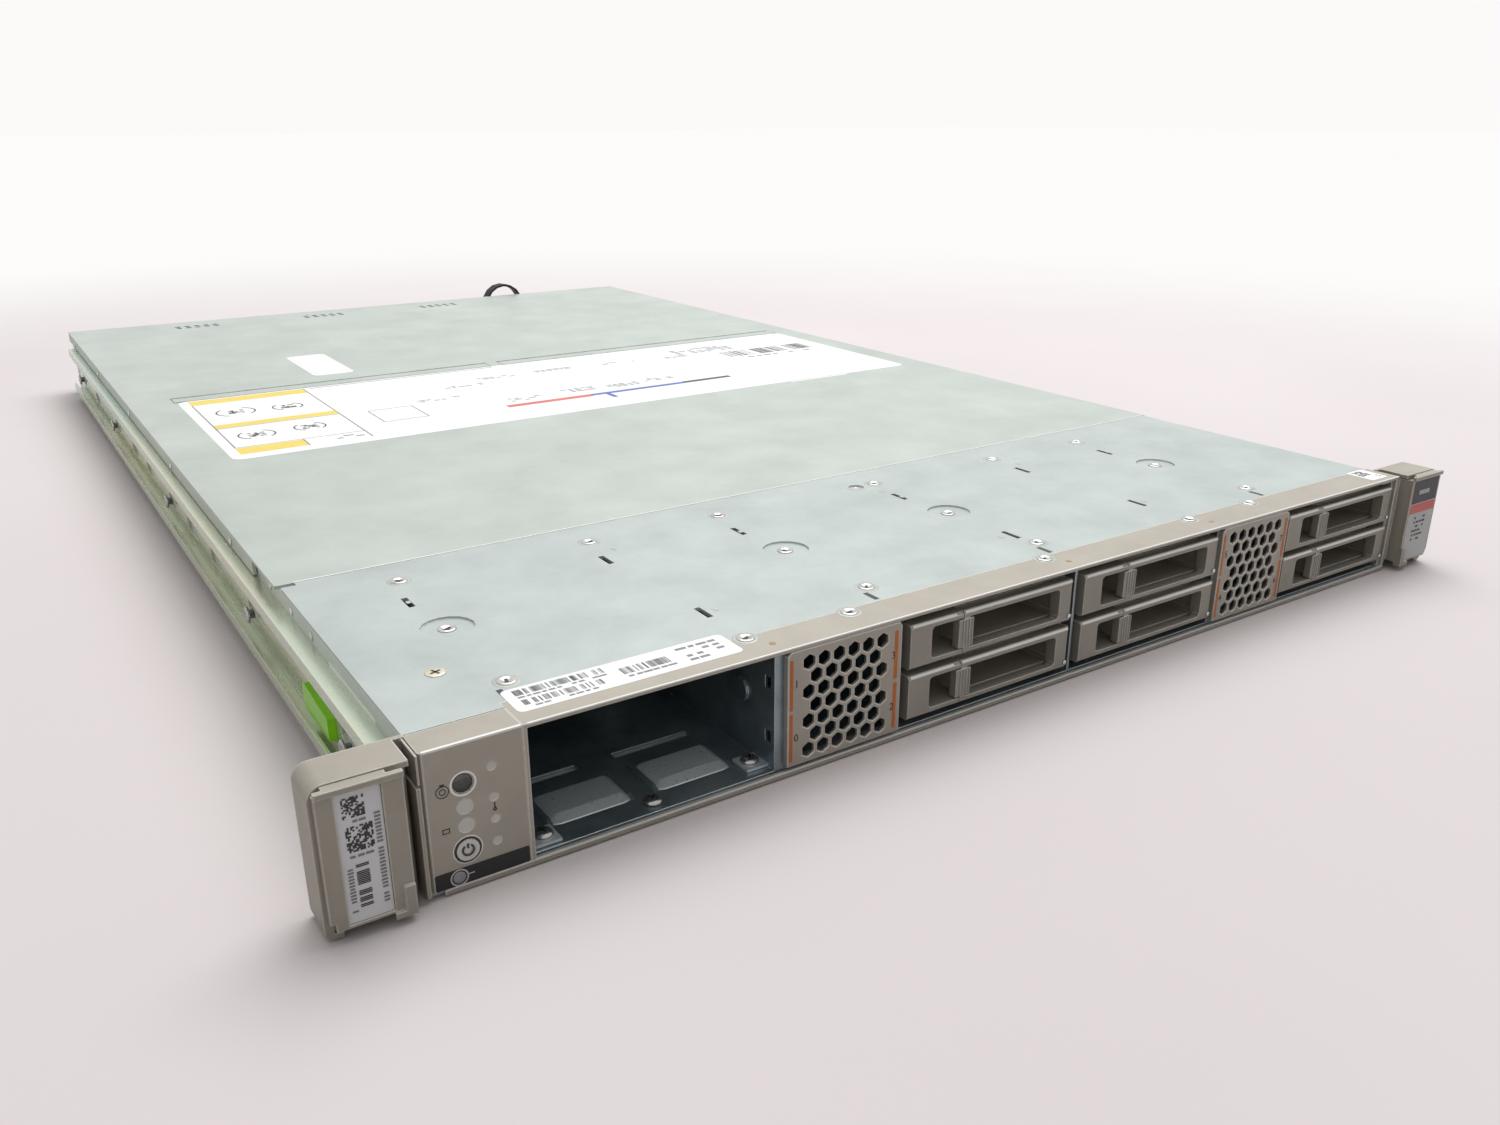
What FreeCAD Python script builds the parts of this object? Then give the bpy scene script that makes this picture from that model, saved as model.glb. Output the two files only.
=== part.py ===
"""One-unit rack server: a parametric assembly of sheet-metal, moulded and printed-board pieces.

Units are millimetres.  X runs to the right as seen from the front, Y runs to the rear, Z is up.
The origin is the middle of the underside.  Front pieces are drawn with Y counted from the front
face and rear pieces with Y counted from the rear face; each sub-part's Placement puts it in place.
"""
import FreeCAD, Part
import math
import os
import re
import Sketcher

Vector = FreeCAD.Vector
document = FreeCAD.newDocument("rack_server")

# --------------------------------------------------------------------------- driving dimensions
SIZES = {
    # whole machine
    "chassis_width": 436.5, "chassis_depth": 737.0, "chassis_height": 42.6,
    "base_sheet": 1.2, "top_sheet": 1.2, "cover_clearance": 0.25,
    "slide_clearance": 0.2, "pin_clearance": 0.05, "side_flange": 8.0,
    # fixed top panel behind the bezel and the cover seam
    "panel_depth": 136.2, "skirt_start": 169.6, "skirt_height": 6.6, "seam_gap": 0.4,
    "seam_notch": 5.0, "dimple_radius": 8.5, "dimple_depth": 0.7, "dimple_row": 72.0,
    "slot_width": 2.2, "slot_length": 9.0, "slot_row": 98.0, "slot_offset": 3.5,
    "short_slot_row": 38.0,
    "stud_column_one": -182.3, "stud_column_two": -111.0, "stud_column_three": -55.2,
    "stud_column_four": 23.5, "stud_column_five": 94.0, "stud_column_six": 147.2,
    # painted bezel frame
    "bezel_strip": 15.0, "lip_depth": 1.5, "lip_height": 1.6, "lip_left": -213.4,
    "bezel_post": 1.2,
    # drive cage
    "cage_depth": 112.0, "cage_sheet": 1.0, "bay_left": -187.8, "bay_right": -108.5,
    "divider_flange": 3.5, "pad_height": 1.0, "pad_width": 27.0, "pad_length": 18.0,
    "pad_front": 11.0, "pad_gap": 7.0, "ledge_height": 1.2,
    "boss_radius": 4.0, "boss_level": 22.8, "boss_height": 0.8, "cage_slot": 3.0,
    "cage_window_level": 8.5, "cage_window_height": 4.0,
    # hexagon vent plates
    "vent_bottom": 3.0, "vent_top": 41.2, "vent_thickness": 1.2, "vent_return": 8.0,
    "vent_left_start": -105.0, "vent_left_width": 43.8, "vent_right_start": 98.6,
    "vent_right_width": 41.4, "hexagon_flats": 4.5, "hexagon_pitch": 5.65, "hexagon_rows": 4.92,
    "hexagon_first_row": 7.05, "vent_round": 1.2,
    # drive fillers and their levers
    "filler_width": 74.4, "filler_height": 15.5, "filler_body": 26.0, "filler_arm": 92.0,
    "filler_low": 5.0, "filler_pitch": 17.9, "filler_column_one": -57.4,
    "filler_column_two": 22.4, "filler_column_three": 141.0, "filler_rim": 2.2,
    "filler_split": 22.3, "filler_gap": 0.5, "filler_window": 8.9, "filler_pocket": 20.0,
    "filler_round": 1.0, "filler_bevel": 0.9, "arm_thickness": 2.0, "arm_height": 7.0,
    "lever_thickness": 3.0, "lever_window_end": 67.5, "lever_tab_start": 20.5,
    "lever_tab_end": 26.6, "lever_tab_inset": 2.8, "lever_tab_depth": 9.0,
    "lever_end_radius": 2.2, "lever_pin_radius": 0.8, "lever_lug_radius": 1.25,
    "lever_lug_height": 4.0, "lever_angle_clearance": 0.35,
    # control panel
    "control_right": -189.0, "control_depth": 11.5,
    "control_wall": 2.0, "control_edge": 0.8, "power_x": -206.4, "power_z": 11.6,
    "power_radius": 3.2, "power_front": -0.4, "locate_front": 0.3, "button_room": 1.5,
    "locate_x": -206.1, "locate_z": 31.0, "locate_radius": 3.0, "button_clearance": 0.08,
    "button_length": 4.0, "button_dish": 0.2, "button_rim": 1.2, "button_travel": 1.2,
    "lamp_radius": 2.1, "small_lamp_radius": 1.1, "lamp_depth": 1.6,
    "lamp_column": -206.1, "lamp_one": 24.4, "lamp_two": 18.9,
    "service_lamp_x": -209.3, "service_lamp": 4.1, "small_lamp_column": -198.2,
    "small_lamp_one": 11.5, "small_lamp_two": 18.2, "small_lamp_three": 24.6,
    "small_lamp_four": 33.6,
    # rack ears and their latches
    "ear_outer": 244.6, "ear_height": 43.0, "ear_front": -2.0, "ear_gap": 3.0,
    "ear_back": 11.7, "ear_wall": 1.6, "ear_round": 4.4, "ear_hook": 4.6, "ear_plate": 1.5,
    "ear_post": 2.4, "ear_post_height": 5.8, "ear_bead": 1.1, "ear_bead_gap": 0.4,
    "ear_bead_front": -0.8, "ear_bead_step": 33.6,
    "latch_pivot_x": 221.6, "latch_pivot_y": 3.6, "latch_pin_radius": 1.2,
    "latch_knuckle": 2.3, "latch_outer": 243.5, "latch_inner": 222.2, "latch_bottom": 3.4,
    "latch_top": 41.0, "latch_face": -4.6, "latch_thickness": 2.4, "latch_arm": 1.0,
    "latch_lip": 1.0, "latch_bar": 1.6, "latch_lip_height": 1.6, "latch_notch_outer": 2.2,
    "latch_notch_inner": 3.8, "latch_clip": 2.8, "latch_clip_stand": 0.8, "latch_clip_low": 1.8,
    "latch_clip_top": 10.4, "latch_foot": 5.6, "latch_foot_height": 1.8,
    "latch_slot_outer": 239.0, "latch_slot_inner": 227.6, "latch_slot_depth": 1.4,
    "latch_slot_rise": 0.8, "card_thickness": 0.7, "card_clearance": 0.1, "card_gap": 0.4,
    "pin_rise": 0.2,
    # slide rails fixed to the chassis sides
    "rail_start": 12.0, "rail_end": 705.0, "rail_low": 7.0, "rail_high": 35.5,
    "rail_stand": 6.0, "rail_sheet": 1.2, "rail_hem": 4.5, "keyhole_radius": 5.0,
    "keyhole_length": 12.0, "window_length": 22.0, "window_height": 9.0, "rail_middle": 19.0,
    "rail_tab_start": 76.0, "rail_tab_end": 104.0,
    "rail_tab_low": 12.5, "rail_tab_high": 22.0, "rail_tab_thickness": 2.4,
    "rail_tab_travel": 8.0, "rail_foot_length": 10.0, "rail_foot_height": 4.0,
    "rail_tab_bevel": 3.0, "rail_tab_taper": 2.0, "rail_foot_lap": 0.5,
    "keyhole_one": 58.0, "keyhole_two": 178.0, "keyhole_three": 343.0, "keyhole_four": 520.0,
    "keyhole_five": 676.0, "window_one": 237.0, "window_two": 288.0, "window_three": 398.0,
    "window_four": 447.0, "window_five": 600.0,
    # cover latches
    "cover_latch_front": 449.6, "cover_latch_pivot": 459.0, "cover_latch_radius": 2.0,
    "cover_latch_sheet": 1.4, "cover_latch_gap": 2.0, "cover_latch_left": -196.0,
    "cover_latch_middle": -13.7, "cover_latch_resume": -5.4, "cover_latch_right": 201.0,
    "cover_pin_radius": 0.8, "pin_wall": 0.6, "cover_bracket": 1.2, "cover_vent_flats": 4.2,
    "cover_vent_pitch": 6.4, "cover_vent_setback": 22.0, "cover_vent_spread": 92.0,
    "cover_vent_first": -136.0,
    # boards, coolers and memory
    "board_thickness": 1.6, "board_height": 6.0, "board_front": 290.0, "board_margin": 3.0,
    "standoff_radius": 3.0, "standoff_first": -200.0, "standoff_spread": 110.0,
    "standoff_inset": 6.0, "cooler_width": 92.0, "cooler_length": 100.0, "socket_inset": 14.0,
    "cooler_base": 5.0, "cooler_fin": 1.0, "cooler_top": 36.0,
    "cooler_front": 350.0, "cooler_left": -118.0, "cooler_right": 26.0, "socket_height": 4.0,
    "memory_length": 133.0, "memory_thickness": 1.4, "memory_pitch": 9.4,
    "memory_front": 334.0, "memory_top": 37.5, "memory_socket": 6.0, "memory_socket_end": 4.0,
    "backplane_thickness": 2.0, "backplane_low": 3.6, "backplane_high": 39.8,
    "connector_width": 42.0, "connector_height": 6.0, "connector_depth": 7.0,
    "connector_rise": 5.0, "backplane_margin": 5.0, "backplane_side": 1.0, "backplane_foot": 2.0,
    # fans
    "fan_front": 210.0, "fan_length": 56.0, "fan_width": 100.0, "fan_gap": 4.0,
    "fan_low": 1.2, "fan_high": 39.4, "fan_bore": 18.0, "fan_hub": 8.5, "fan_tip": 17.0,
    "fan_blade": 1.2, "fan_rotor_length": 24.0, "fan_shaft": 1.5, "fan_spokes": 2.5,
    "fan_chord": 18.0, "fan_blade_lift": 3.6, "fan_cup": 6.0, "fan_cup_gap": 2.0,
    "duct_sheet": 1.0, "duct_length": 60.0, "duct_side": 2.0, "duct_rise": 1.4,
    # rear wall, sockets and card slots
    "rear_sheet": 1.2, "supply_wall_x": 53.0, "socket_clearance": 0.3,
    "network_width": 16.0, "network_height": 13.6, "network_hole": 12.0,
    "network_hole_height": 9.0, "socket_depth": 20.0, "socket_hole_depth": 13.0,
    "socket_low": 7.8, "network_first": -128.0, "network_pitch": 19.0,
    "bus_width": 14.8, "bus_height": 7.6, "bus_wall": 0.9, "bus_first": -38.0,
    "bus_pitch": 19.0, "video_width": 31.0, "video_height": 12.0, "video_x": -188.0,
    "slot_cover_low": 24.0, "slot_cover_high": 39.0, "slot_cover_length": 108.0,
    "slot_cover_left": -206.0, "slot_cover_right": -78.0, "slot_cover_lip": 2.0,
    "slot_cover_foot": 10.0, "video_collar": 6.0, "video_collar_wall": 2.0,
    # power supplies, counted from the rear face
    "supply_width": 79.0, "supply_height": 38.0, "supply_length": 196.0, "supply_low": 1.5,
    "supply_left": 54.5, "supply_gap": 2.0, "supply_fan_x": 22.0, "supply_fan_radius": 15.5,
    "supply_inlet_x": 60.0, "inlet_width": 24.0, "inlet_height": 16.4, "inlet_depth": 16.0,
    "inlet_z": 23.0, "supply_face": 1.0, "release_width": 10.0, "release_height": 7.0,
    "release_depth": 12.0, "release_travel": 3.0, "release_z": 4.6, "release_x": 46.0,
    "handle_rod": 1.6, "handle_width": 30.0, "handle_drop": 24.0, "handle_stand": 2.2,
    "handle_x": 7.0, "handle_z": 33.5, "handle_ear": 3.0, "handle_lug": 2.6, "handle_side": 0.2,
    "inlet_pin_pitch": 6.5, "inlet_pin_width": 1.8, "inlet_pin_height": 4.0, "inlet_pin_rise": 3.0,
    "grille_depth": 3.0, "grille_pitch": 7.0, "grille_bar": 1.4, "release_stand": 4.0,
    "strap_width": 10.0, "strap_thickness": 1.6, "strap_radius": 16.5, "strap_x": 117.0,
    "strap_low": 35.0,
}

sheet = document.addObject("Spreadsheet::Sheet", "sizes")
for row, (alias, amount) in enumerate(SIZES.items(), start=1):
    sheet.set("A%d" % row, alias)
    sheet.set("B%d" % row, str(amount))
    sheet.setAlias("B%d" % row, alias)
document.recompute()

# positions that several pieces share, written as formulas over the sheet
FRONT = "-chassis_depth / 2"
REAR = "chassis_depth / 2"
SIDE = "chassis_width / 2 - top_sheet - cover_clearance"
INSIDE = f"{SIDE} - base_sheet"
CONTROL_LEFT = f"-({SIDE})"
UNDERSIDE = "chassis_height - top_sheet"
FLOOR_TOP = "base_sheet + cage_sheet"
LEDGE_START = "filler_body + cage_sheet"
LEVER_PIVOT_X = "filler_width - lever_end_radius"
LEVER_BACK = "2 * lever_end_radius + lever_angle_clearance"
HEXAGON_CORNER = "hexagon_flats / sqrt(3)"
BOARD_BACK = "(chassis_depth - rear_sheet - board_margin)"
RAIL_TAB_MIDDLE = "(rail_tab_start + rail_tab_end) / 2"
RAIL_FOOT_LOW = "(rail_tab_low + rail_tab_high - rail_foot_height) / 2"
COLUMNS = ("filler_column_one", "filler_column_two", "filler_column_three")
STUD_COLUMNS = ["stud_column_" + name for name in ("one", "two", "three", "four", "five", "six")]
RAIL_KEYHOLES = ["keyhole_" + name for name in ("one", "two", "three", "four", "five")]
RAIL_WINDOWS = ["window_" + name for name in ("one", "two", "three", "four", "five")]
LAMPS = [("lamp_column", "lamp_one", "lamp_radius"), ("lamp_column", "lamp_two", "lamp_radius"),
         ("service_lamp_x", "service_lamp", "lamp_radius")]
LAMPS += [("small_lamp_column", "small_lamp_" + name, "small_lamp_radius")
          for name in ("one", "two", "three", "four")]

SMALL_FLATS = 12
SUBPARTS = []


# --------------------------------------------------------------------------- drawing helpers
def formula(text):
    """Write a formula over bare size names as FreeCAD expects it, with the sheet named."""
    return re.sub(r"[a-z_]{4,}(?!\()", lambda word: "sizes." + word.group(0), str(text))


def measure(text):
    """Value in millimetres of a formula over the sheet's names."""
    return float(sheet.evalExpression(str(text)))


def bind(thing, field, text):
    """Tie one property of a document object to a formula over the sheet."""
    thing.setExpression(field, formula(text))


def place(thing, x=0, y=0, z=0):
    """Tie the three coordinates of an object's Placement."""
    for axis, amount in (("x", x), ("y", y), ("z", z)):
        bind(thing, "Placement.Base." + axis, amount)


def keep(thing, label):
    """Name a finished sub-part and list it for export."""
    thing.Label = label
    SUBPARTS.append(thing)
    return thing


def new_body(label, y=FRONT, x=0, z=0):
    """Start a PartDesign body that will be one sub-part."""
    body = document.addObject("PartDesign::Body", "body_" + label)
    place(body, x, y, z)
    return keep(body, label)


def origin_plane(body, role):
    """One of the three planes of a body's own origin."""
    return next(plane for plane in body.Origin.OriginFeatures if plane.Role == role)


def corner(u, v):
    """A sketch point with its formulas and its present value."""
    return (u, v, Vector(measure(u), measure(v), 0))


def rectangle(u0, v0, u1, v1):
    """Outline of a rectangle between two opposite corners."""
    return [(u0, v0), (u1, v0), (u1, v1), (u0, v1)]


def mirrored(points, sign):
    """The same outline on the left (-1) or the right (+1) side of the machine."""
    return [(f"{sign} * ({u})", v) + tuple(rest) for u, v, *rest in points]


def clipped(u0, v0, u1, v1, cut):
    """Outline of a rectangle whose four corners are cut off at 45 degrees."""
    return [(f"({u0}) + {cut}", v0), (f"({u1}) - {cut}", v0), (u1, f"({v0}) + {cut}"),
            (u1, f"({v1}) - {cut}"), (f"({u1}) - {cut}", v1), (f"({u0}) + {cut}", v1),
            (u0, f"({v1}) - {cut}"), (u0, f"({v0}) + {cut}")]


def polygon(u, v, radius, sides, first=0):
    """Outline of a regular polygon; first is the direction of its first corner in degrees."""
    points = []
    for number in range(sides):
        angle = math.radians(first + 360 * number / sides)
        points.append((f"({u}) + {math.cos(angle):.6f} * ({radius})",
                       f"({v}) + {math.sin(angle):.6f} * ({radius})"))
    return points


def round_outline(u, v, radius, sides=16):
    """Outline of a small round feature, drawn with flats to keep its mesh light."""
    return polygon(u, v, radius, sides)


def hexagon(u, v, radius):
    """Outline of a hexagon that stands on a corner."""
    return polygon(u, v, radius, 6, 90)


def rounded(points, radii):
    """Give some corners of an outline a radius; radii maps a corner's number to a formula."""
    return [point + ((radii[number],) if number in radii else ())
            for number, point in enumerate(points)]


def toward(start, end, distance):
    """Formula of the point a distance from start along the horizontal or vertical side to end."""
    step = Vector(measure(end[0]) - measure(start[0]), measure(end[1]) - measure(start[1]), 0)
    if abs(step.x) > abs(step.y):
        return (f"({start[0]}) + {1 if step.x > 0 else -1} * ({distance})", start[1])
    return (start[0], f"({start[1]}) + {1 if step.y > 0 else -1} * ({distance})")


def draw_arc(sketch, start, end, centre):
    """Draw a quarter circle; returns the numbers of the arc's ends at the start and at the end."""
    spokes = [start - centre, end - centre]
    onward = spokes[0].cross(spokes[1]).z > 0
    angles = [math.atan2(spoke.y, spoke.x) for spoke in (spokes if onward else reversed(spokes))]
    circle = Part.Circle(centre, Vector(0, 0, 1), spokes[0].Length)
    sketch.addGeometry(Part.ArcOfCircle(circle, *angles), False)
    return (1, 2) if onward else (2, 1)


def draw_outline(sketch, points):
    """Draw a closed outline; a point with a third entry is a square corner rounded to that radius."""
    stations = []
    for number, point in enumerate(points):
        if len(point) == 2:
            stations.append((corner(*point), None))
            continue
        before = points[number - 1]
        after = points[(number + 1) % len(points)]
        first = corner(*toward(point, before, point[2]))
        last = corner(*toward(point, after, point[2]))
        vertex = Vector(measure(point[0]), measure(point[1]), 0)
        stations.append((first, (first[2] + last[2] - vertex, point[2])))
        stations.append((last, None))
    count = len(stations)
    ends = []
    for number, (start, bulge) in enumerate(stations):
        end = stations[(number + 1) % count][0]
        if bulge:
            ends.append(draw_arc(sketch, start[2], end[2], bulge[0]))
        else:
            sketch.addGeometry(Part.LineSegment(start[2], end[2]), False)
            ends.append((1, 2))
    for number in range(count):
        following = (number + 1) % count
        sketch.addConstraint(
            Sketcher.Constraint("Coincident", number, ends[number][1], following, ends[following][0]))
    for number, (start, bulge) in enumerate(stations):
        spans = (("DistanceX", start[0], start[2].x), ("DistanceY", start[1], start[2].y))
        for kind, text, amount in spans:
            index = sketch.addConstraint(
                Sketcher.Constraint(kind, -1, 1, number, ends[number][0], amount))
            sketch.setExpression("Constraints[%d]" % index, formula(text))
        if bulge:
            index = sketch.addConstraint(Sketcher.Constraint("Radius", number, measure(bulge[1])))
            sketch.setExpression("Constraints[%d]" % index, formula(bulge[1]))


def draw_circle(sketch, u, v, radius):
    """Draw a circle tied to its centre and radius."""
    centre = corner(u, v)
    number = sketch.addGeometry(Part.Circle(centre[2], Vector(0, 0, 1), measure(radius)), False)
    for kind, text, amount in (("DistanceX", u, centre[2].x), ("DistanceY", v, centre[2].y)):
        index = sketch.addConstraint(Sketcher.Constraint(kind, -1, 1, number, 3, amount))
        sketch.setExpression("Constraints[%d]" % index, formula(text))
    index = sketch.addConstraint(Sketcher.Constraint("Radius", number, measure(radius)))
    sketch.setExpression("Constraints[%d]" % index, formula(radius))


PLANES = {"top": ("XY_Plane", 1), "front": ("XZ_Plane", -1), "side": ("YZ_Plane", 1)}


def feature(body, plane, start, length, outline=(), circles=(), cut=False):
    """Pad or pocket a profile from one level of a plane along the plane's positive axis."""
    role, normal = PLANES[plane]
    sketch = body.newObject("Sketcher::SketchObject", "profile")
    sketch.AttachmentSupport = (origin_plane(body, role), [""])
    sketch.MapMode = "FlatFace"
    sketch.setExpression("AttachmentOffset.Base.z", formula(f"{normal} * ({start})"))
    if outline:
        draw_outline(sketch, outline)
    for circle in circles:
        draw_circle(sketch, *circle)
    solid = body.newObject("PartDesign::Pocket" if cut else "PartDesign::Pad", "solid")
    solid.Profile = sketch
    solid.Reversed = (normal > 0) if cut else (normal < 0)
    bind(solid, "Length", length)
    return solid


def pad(body, plane, start, length, points):
    """Add a prism."""
    return feature(body, plane, start, length, outline=points)


def pocket(body, plane, start, length, points):
    """Cut a prism."""
    return feature(body, plane, start, length, outline=points, cut=True)


def boss(body, plane, start, length, *circles):
    """Add cylinders."""
    return feature(body, plane, start, length, circles=circles)


def bore(body, plane, start, length, *circles):
    """Cut cylinders."""
    return feature(body, plane, start, length, circles=circles, cut=True)


def axis_of(body, role):
    """An axis of a body's own origin, for a pattern's direction."""
    return (origin_plane(body, role), [""])


def row_of(body, source, role, count, span, reverse=False):
    """Repeat features in a straight row over a span."""
    pattern = body.newObject("PartDesign::LinearPattern", "row")
    pattern.Originals = source
    pattern.Direction = axis_of(body, role)
    pattern.Reversed = reverse
    pattern.Occurrences = count
    bind(pattern, "Length", span)
    body.Tip = pattern
    return pattern


def grid_of(body, source, columns, column_pitch, rows, row_pitch, roles=("X_Axis", "Z_Axis")):
    """Repeat features in a grid."""
    grid = body.newObject("PartDesign::MultiTransform", "grid")
    grid.Originals = source
    steps = []
    for role, count, pitch in ((roles[0], columns, column_pitch), (roles[1], rows, row_pitch)):
        step = body.newObject("PartDesign::LinearPattern", "step")
        step.Direction = axis_of(body, role)
        step.Occurrences = count
        bind(step, "Length", f"{count - 1} * ({pitch})")
        steps.append(step)
    grid.Transformations = steps
    body.Tip = grid
    return grid


def block(x, y, z, width, depth, height):
    """A box primitive with its corner and sides tied to the sheet."""
    box = document.addObject("Part::Box", "block")
    for field, text in (("Length", width), ("Width", depth), ("Height", height)):
        bind(box, field, text)
    place(box, x, y, z)
    return box


def prism(axis, x, y, z, radius, length, sides=SMALL_FLATS):
    """A regular prism primitive along Y or Z, for small pins and lenses."""
    bar = document.addObject("Part::Prism", "prism")
    bar.Polygon = sides
    bind(bar, "Circumradius", radius)
    bind(bar, "Height", length)
    turns = {"Y": (Vector(1, 0, 0), -90), "Z": (Vector(0, 0, 1), 0)}
    bar.Placement = FreeCAD.Placement(Vector(), FreeCAD.Rotation(*turns[axis]))
    place(bar, x, y, z)
    return bar


def join(pieces):
    """Fuse primitives into one solid."""
    if len(pieces) == 1:
        return pieces[0]
    union = document.addObject("Part::MultiFuse", "union")
    union.Shapes = pieces
    return union


def carve(base, tools):
    """Cut primitives out of a solid."""
    difference = document.addObject("Part::Cut", "difference")
    difference.Base = base
    difference.Tool = join(tools)
    return difference


def gather(label, pieces, y=FRONT):
    """Hold separate solids of one kind in one node."""
    group = document.addObject("Part::Compound", "group_" + label)
    group.Links = pieces
    place(group, 0, y, 0)
    return keep(group, label)


# --------------------------------------------------------------------------- chassis shell
def make_chassis_base():
    """Tray bent from one sheet: floor, two side walls and their in-turned top flanges."""
    body = new_body("chassis_base")
    top = UNDERSIDE
    flange = f"{SIDE} - side_flange"
    profile = [(f"-({SIDE})", 0), (SIDE, 0), (SIDE, top), (flange, top),
               (flange, f"{top} - base_sheet"), (INSIDE, f"{top} - base_sheet"),
               (INSIDE, "base_sheet"), (f"-({INSIDE})", "base_sheet"),
               (f"-({INSIDE})", f"{top} - base_sheet"), (f"-({flange})", f"{top} - base_sheet"),
               (f"-({flange})", top), (f"-({SIDE})", top)]
    pad(body, "front", "lip_depth", "chassis_depth - lip_depth", profile)
    room = rectangle(f"-({SIDE}) - 1", "lip_depth - 1", "control_right", "control_depth")
    pocket(body, "top", "base_sheet", "chassis_height", room)
    ledge = rectangle(f"{INSIDE} - arm_thickness - slide_clearance", "filler_low + arm_height / 2",
                      INSIDE, "filler_low + arm_height / 2 + ledge_height")
    rest = pad(body, "front", LEDGE_START, f"cage_depth - ({LEDGE_START})", ledge)
    row_of(body, [rest], "Z_Axis", 2, "filler_pitch")
    post = pad(body, "top", "base_sheet", "board_height - base_sheet",
               hexagon("standoff_first", "board_front + standoff_inset", "standoff_radius"))
    grid_of(body, [post], 3, "standoff_spread", 3,
            f"({BOARD_BACK} - board_front - 2 * standoff_inset) / 2", ("X_Axis", "Y_Axis"))
    return body


def make_front_top_panel():
    """Fixed top panel over the drives, with formed dimples, stitch slots and a seam notch."""
    body = new_body("front_top_panel")
    behind = "control_depth + seam_gap"
    outline = [(f"-({SIDE})", behind), ("bay_left - bezel_post", behind),
               ("bay_left - bezel_post", "bezel_strip"), (SIDE, "bezel_strip"),
               (SIDE, "panel_depth"), (f"-({SIDE}) + seam_notch", "panel_depth"),
               (f"-({SIDE}) + seam_notch", "panel_depth - seam_notch / 2"),
               (f"-({SIDE})", "panel_depth - seam_notch / 2")]
    pad(body, "top", UNDERSIDE, "top_sheet", outline)
    for name in (STUD_COLUMNS[0], STUD_COLUMNS[2], STUD_COLUMNS[3], STUD_COLUMNS[5]):
        pocket(body, "top", "chassis_height - dimple_depth", "dimple_depth + 1",
               round_outline(name, "dimple_row", "dimple_radius"))
    for name in STUD_COLUMNS:
        slot = rectangle(f"{name} - slot_offset - slot_width / 2", "slot_row - slot_length / 2",
                         f"{name} - slot_offset + slot_width / 2", "slot_row + slot_length / 2")
        pocket(body, "top", f"{UNDERSIDE} - 1", "top_sheet + 2", slot)
    for name in (STUD_COLUMNS[1], STUD_COLUMNS[3], STUD_COLUMNS[4]):
        slot = rectangle(f"{name} - slot_width / 2", "short_slot_row - slot_length / 2",
                         f"{name} + slot_width / 2", "short_slot_row + slot_length / 2")
        pocket(body, "top", f"{UNDERSIDE} - 1", "top_sheet + 2", slot)
    return body


def make_front_frame():
    """Painted bezel frame: top strip, bottom lip, left post and a return round the right side."""
    body = new_body("front_frame")
    edge = "chassis_width / 2"
    left = "bay_left - bezel_post"
    pad(body, "top", UNDERSIDE, "top_sheet", rectangle(left, 0, edge, "bezel_strip"))
    pad(body, "top", 0, "chassis_height", rectangle(left, 0, "bay_left", "bezel_post"))
    pad(body, "top", 0, "lip_height", rectangle("lip_left", 0, edge, "lip_depth"))
    pad(body, "top", 0, "chassis_height", rectangle(SIDE, 0, edge, "rail_start"))
    return body


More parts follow.
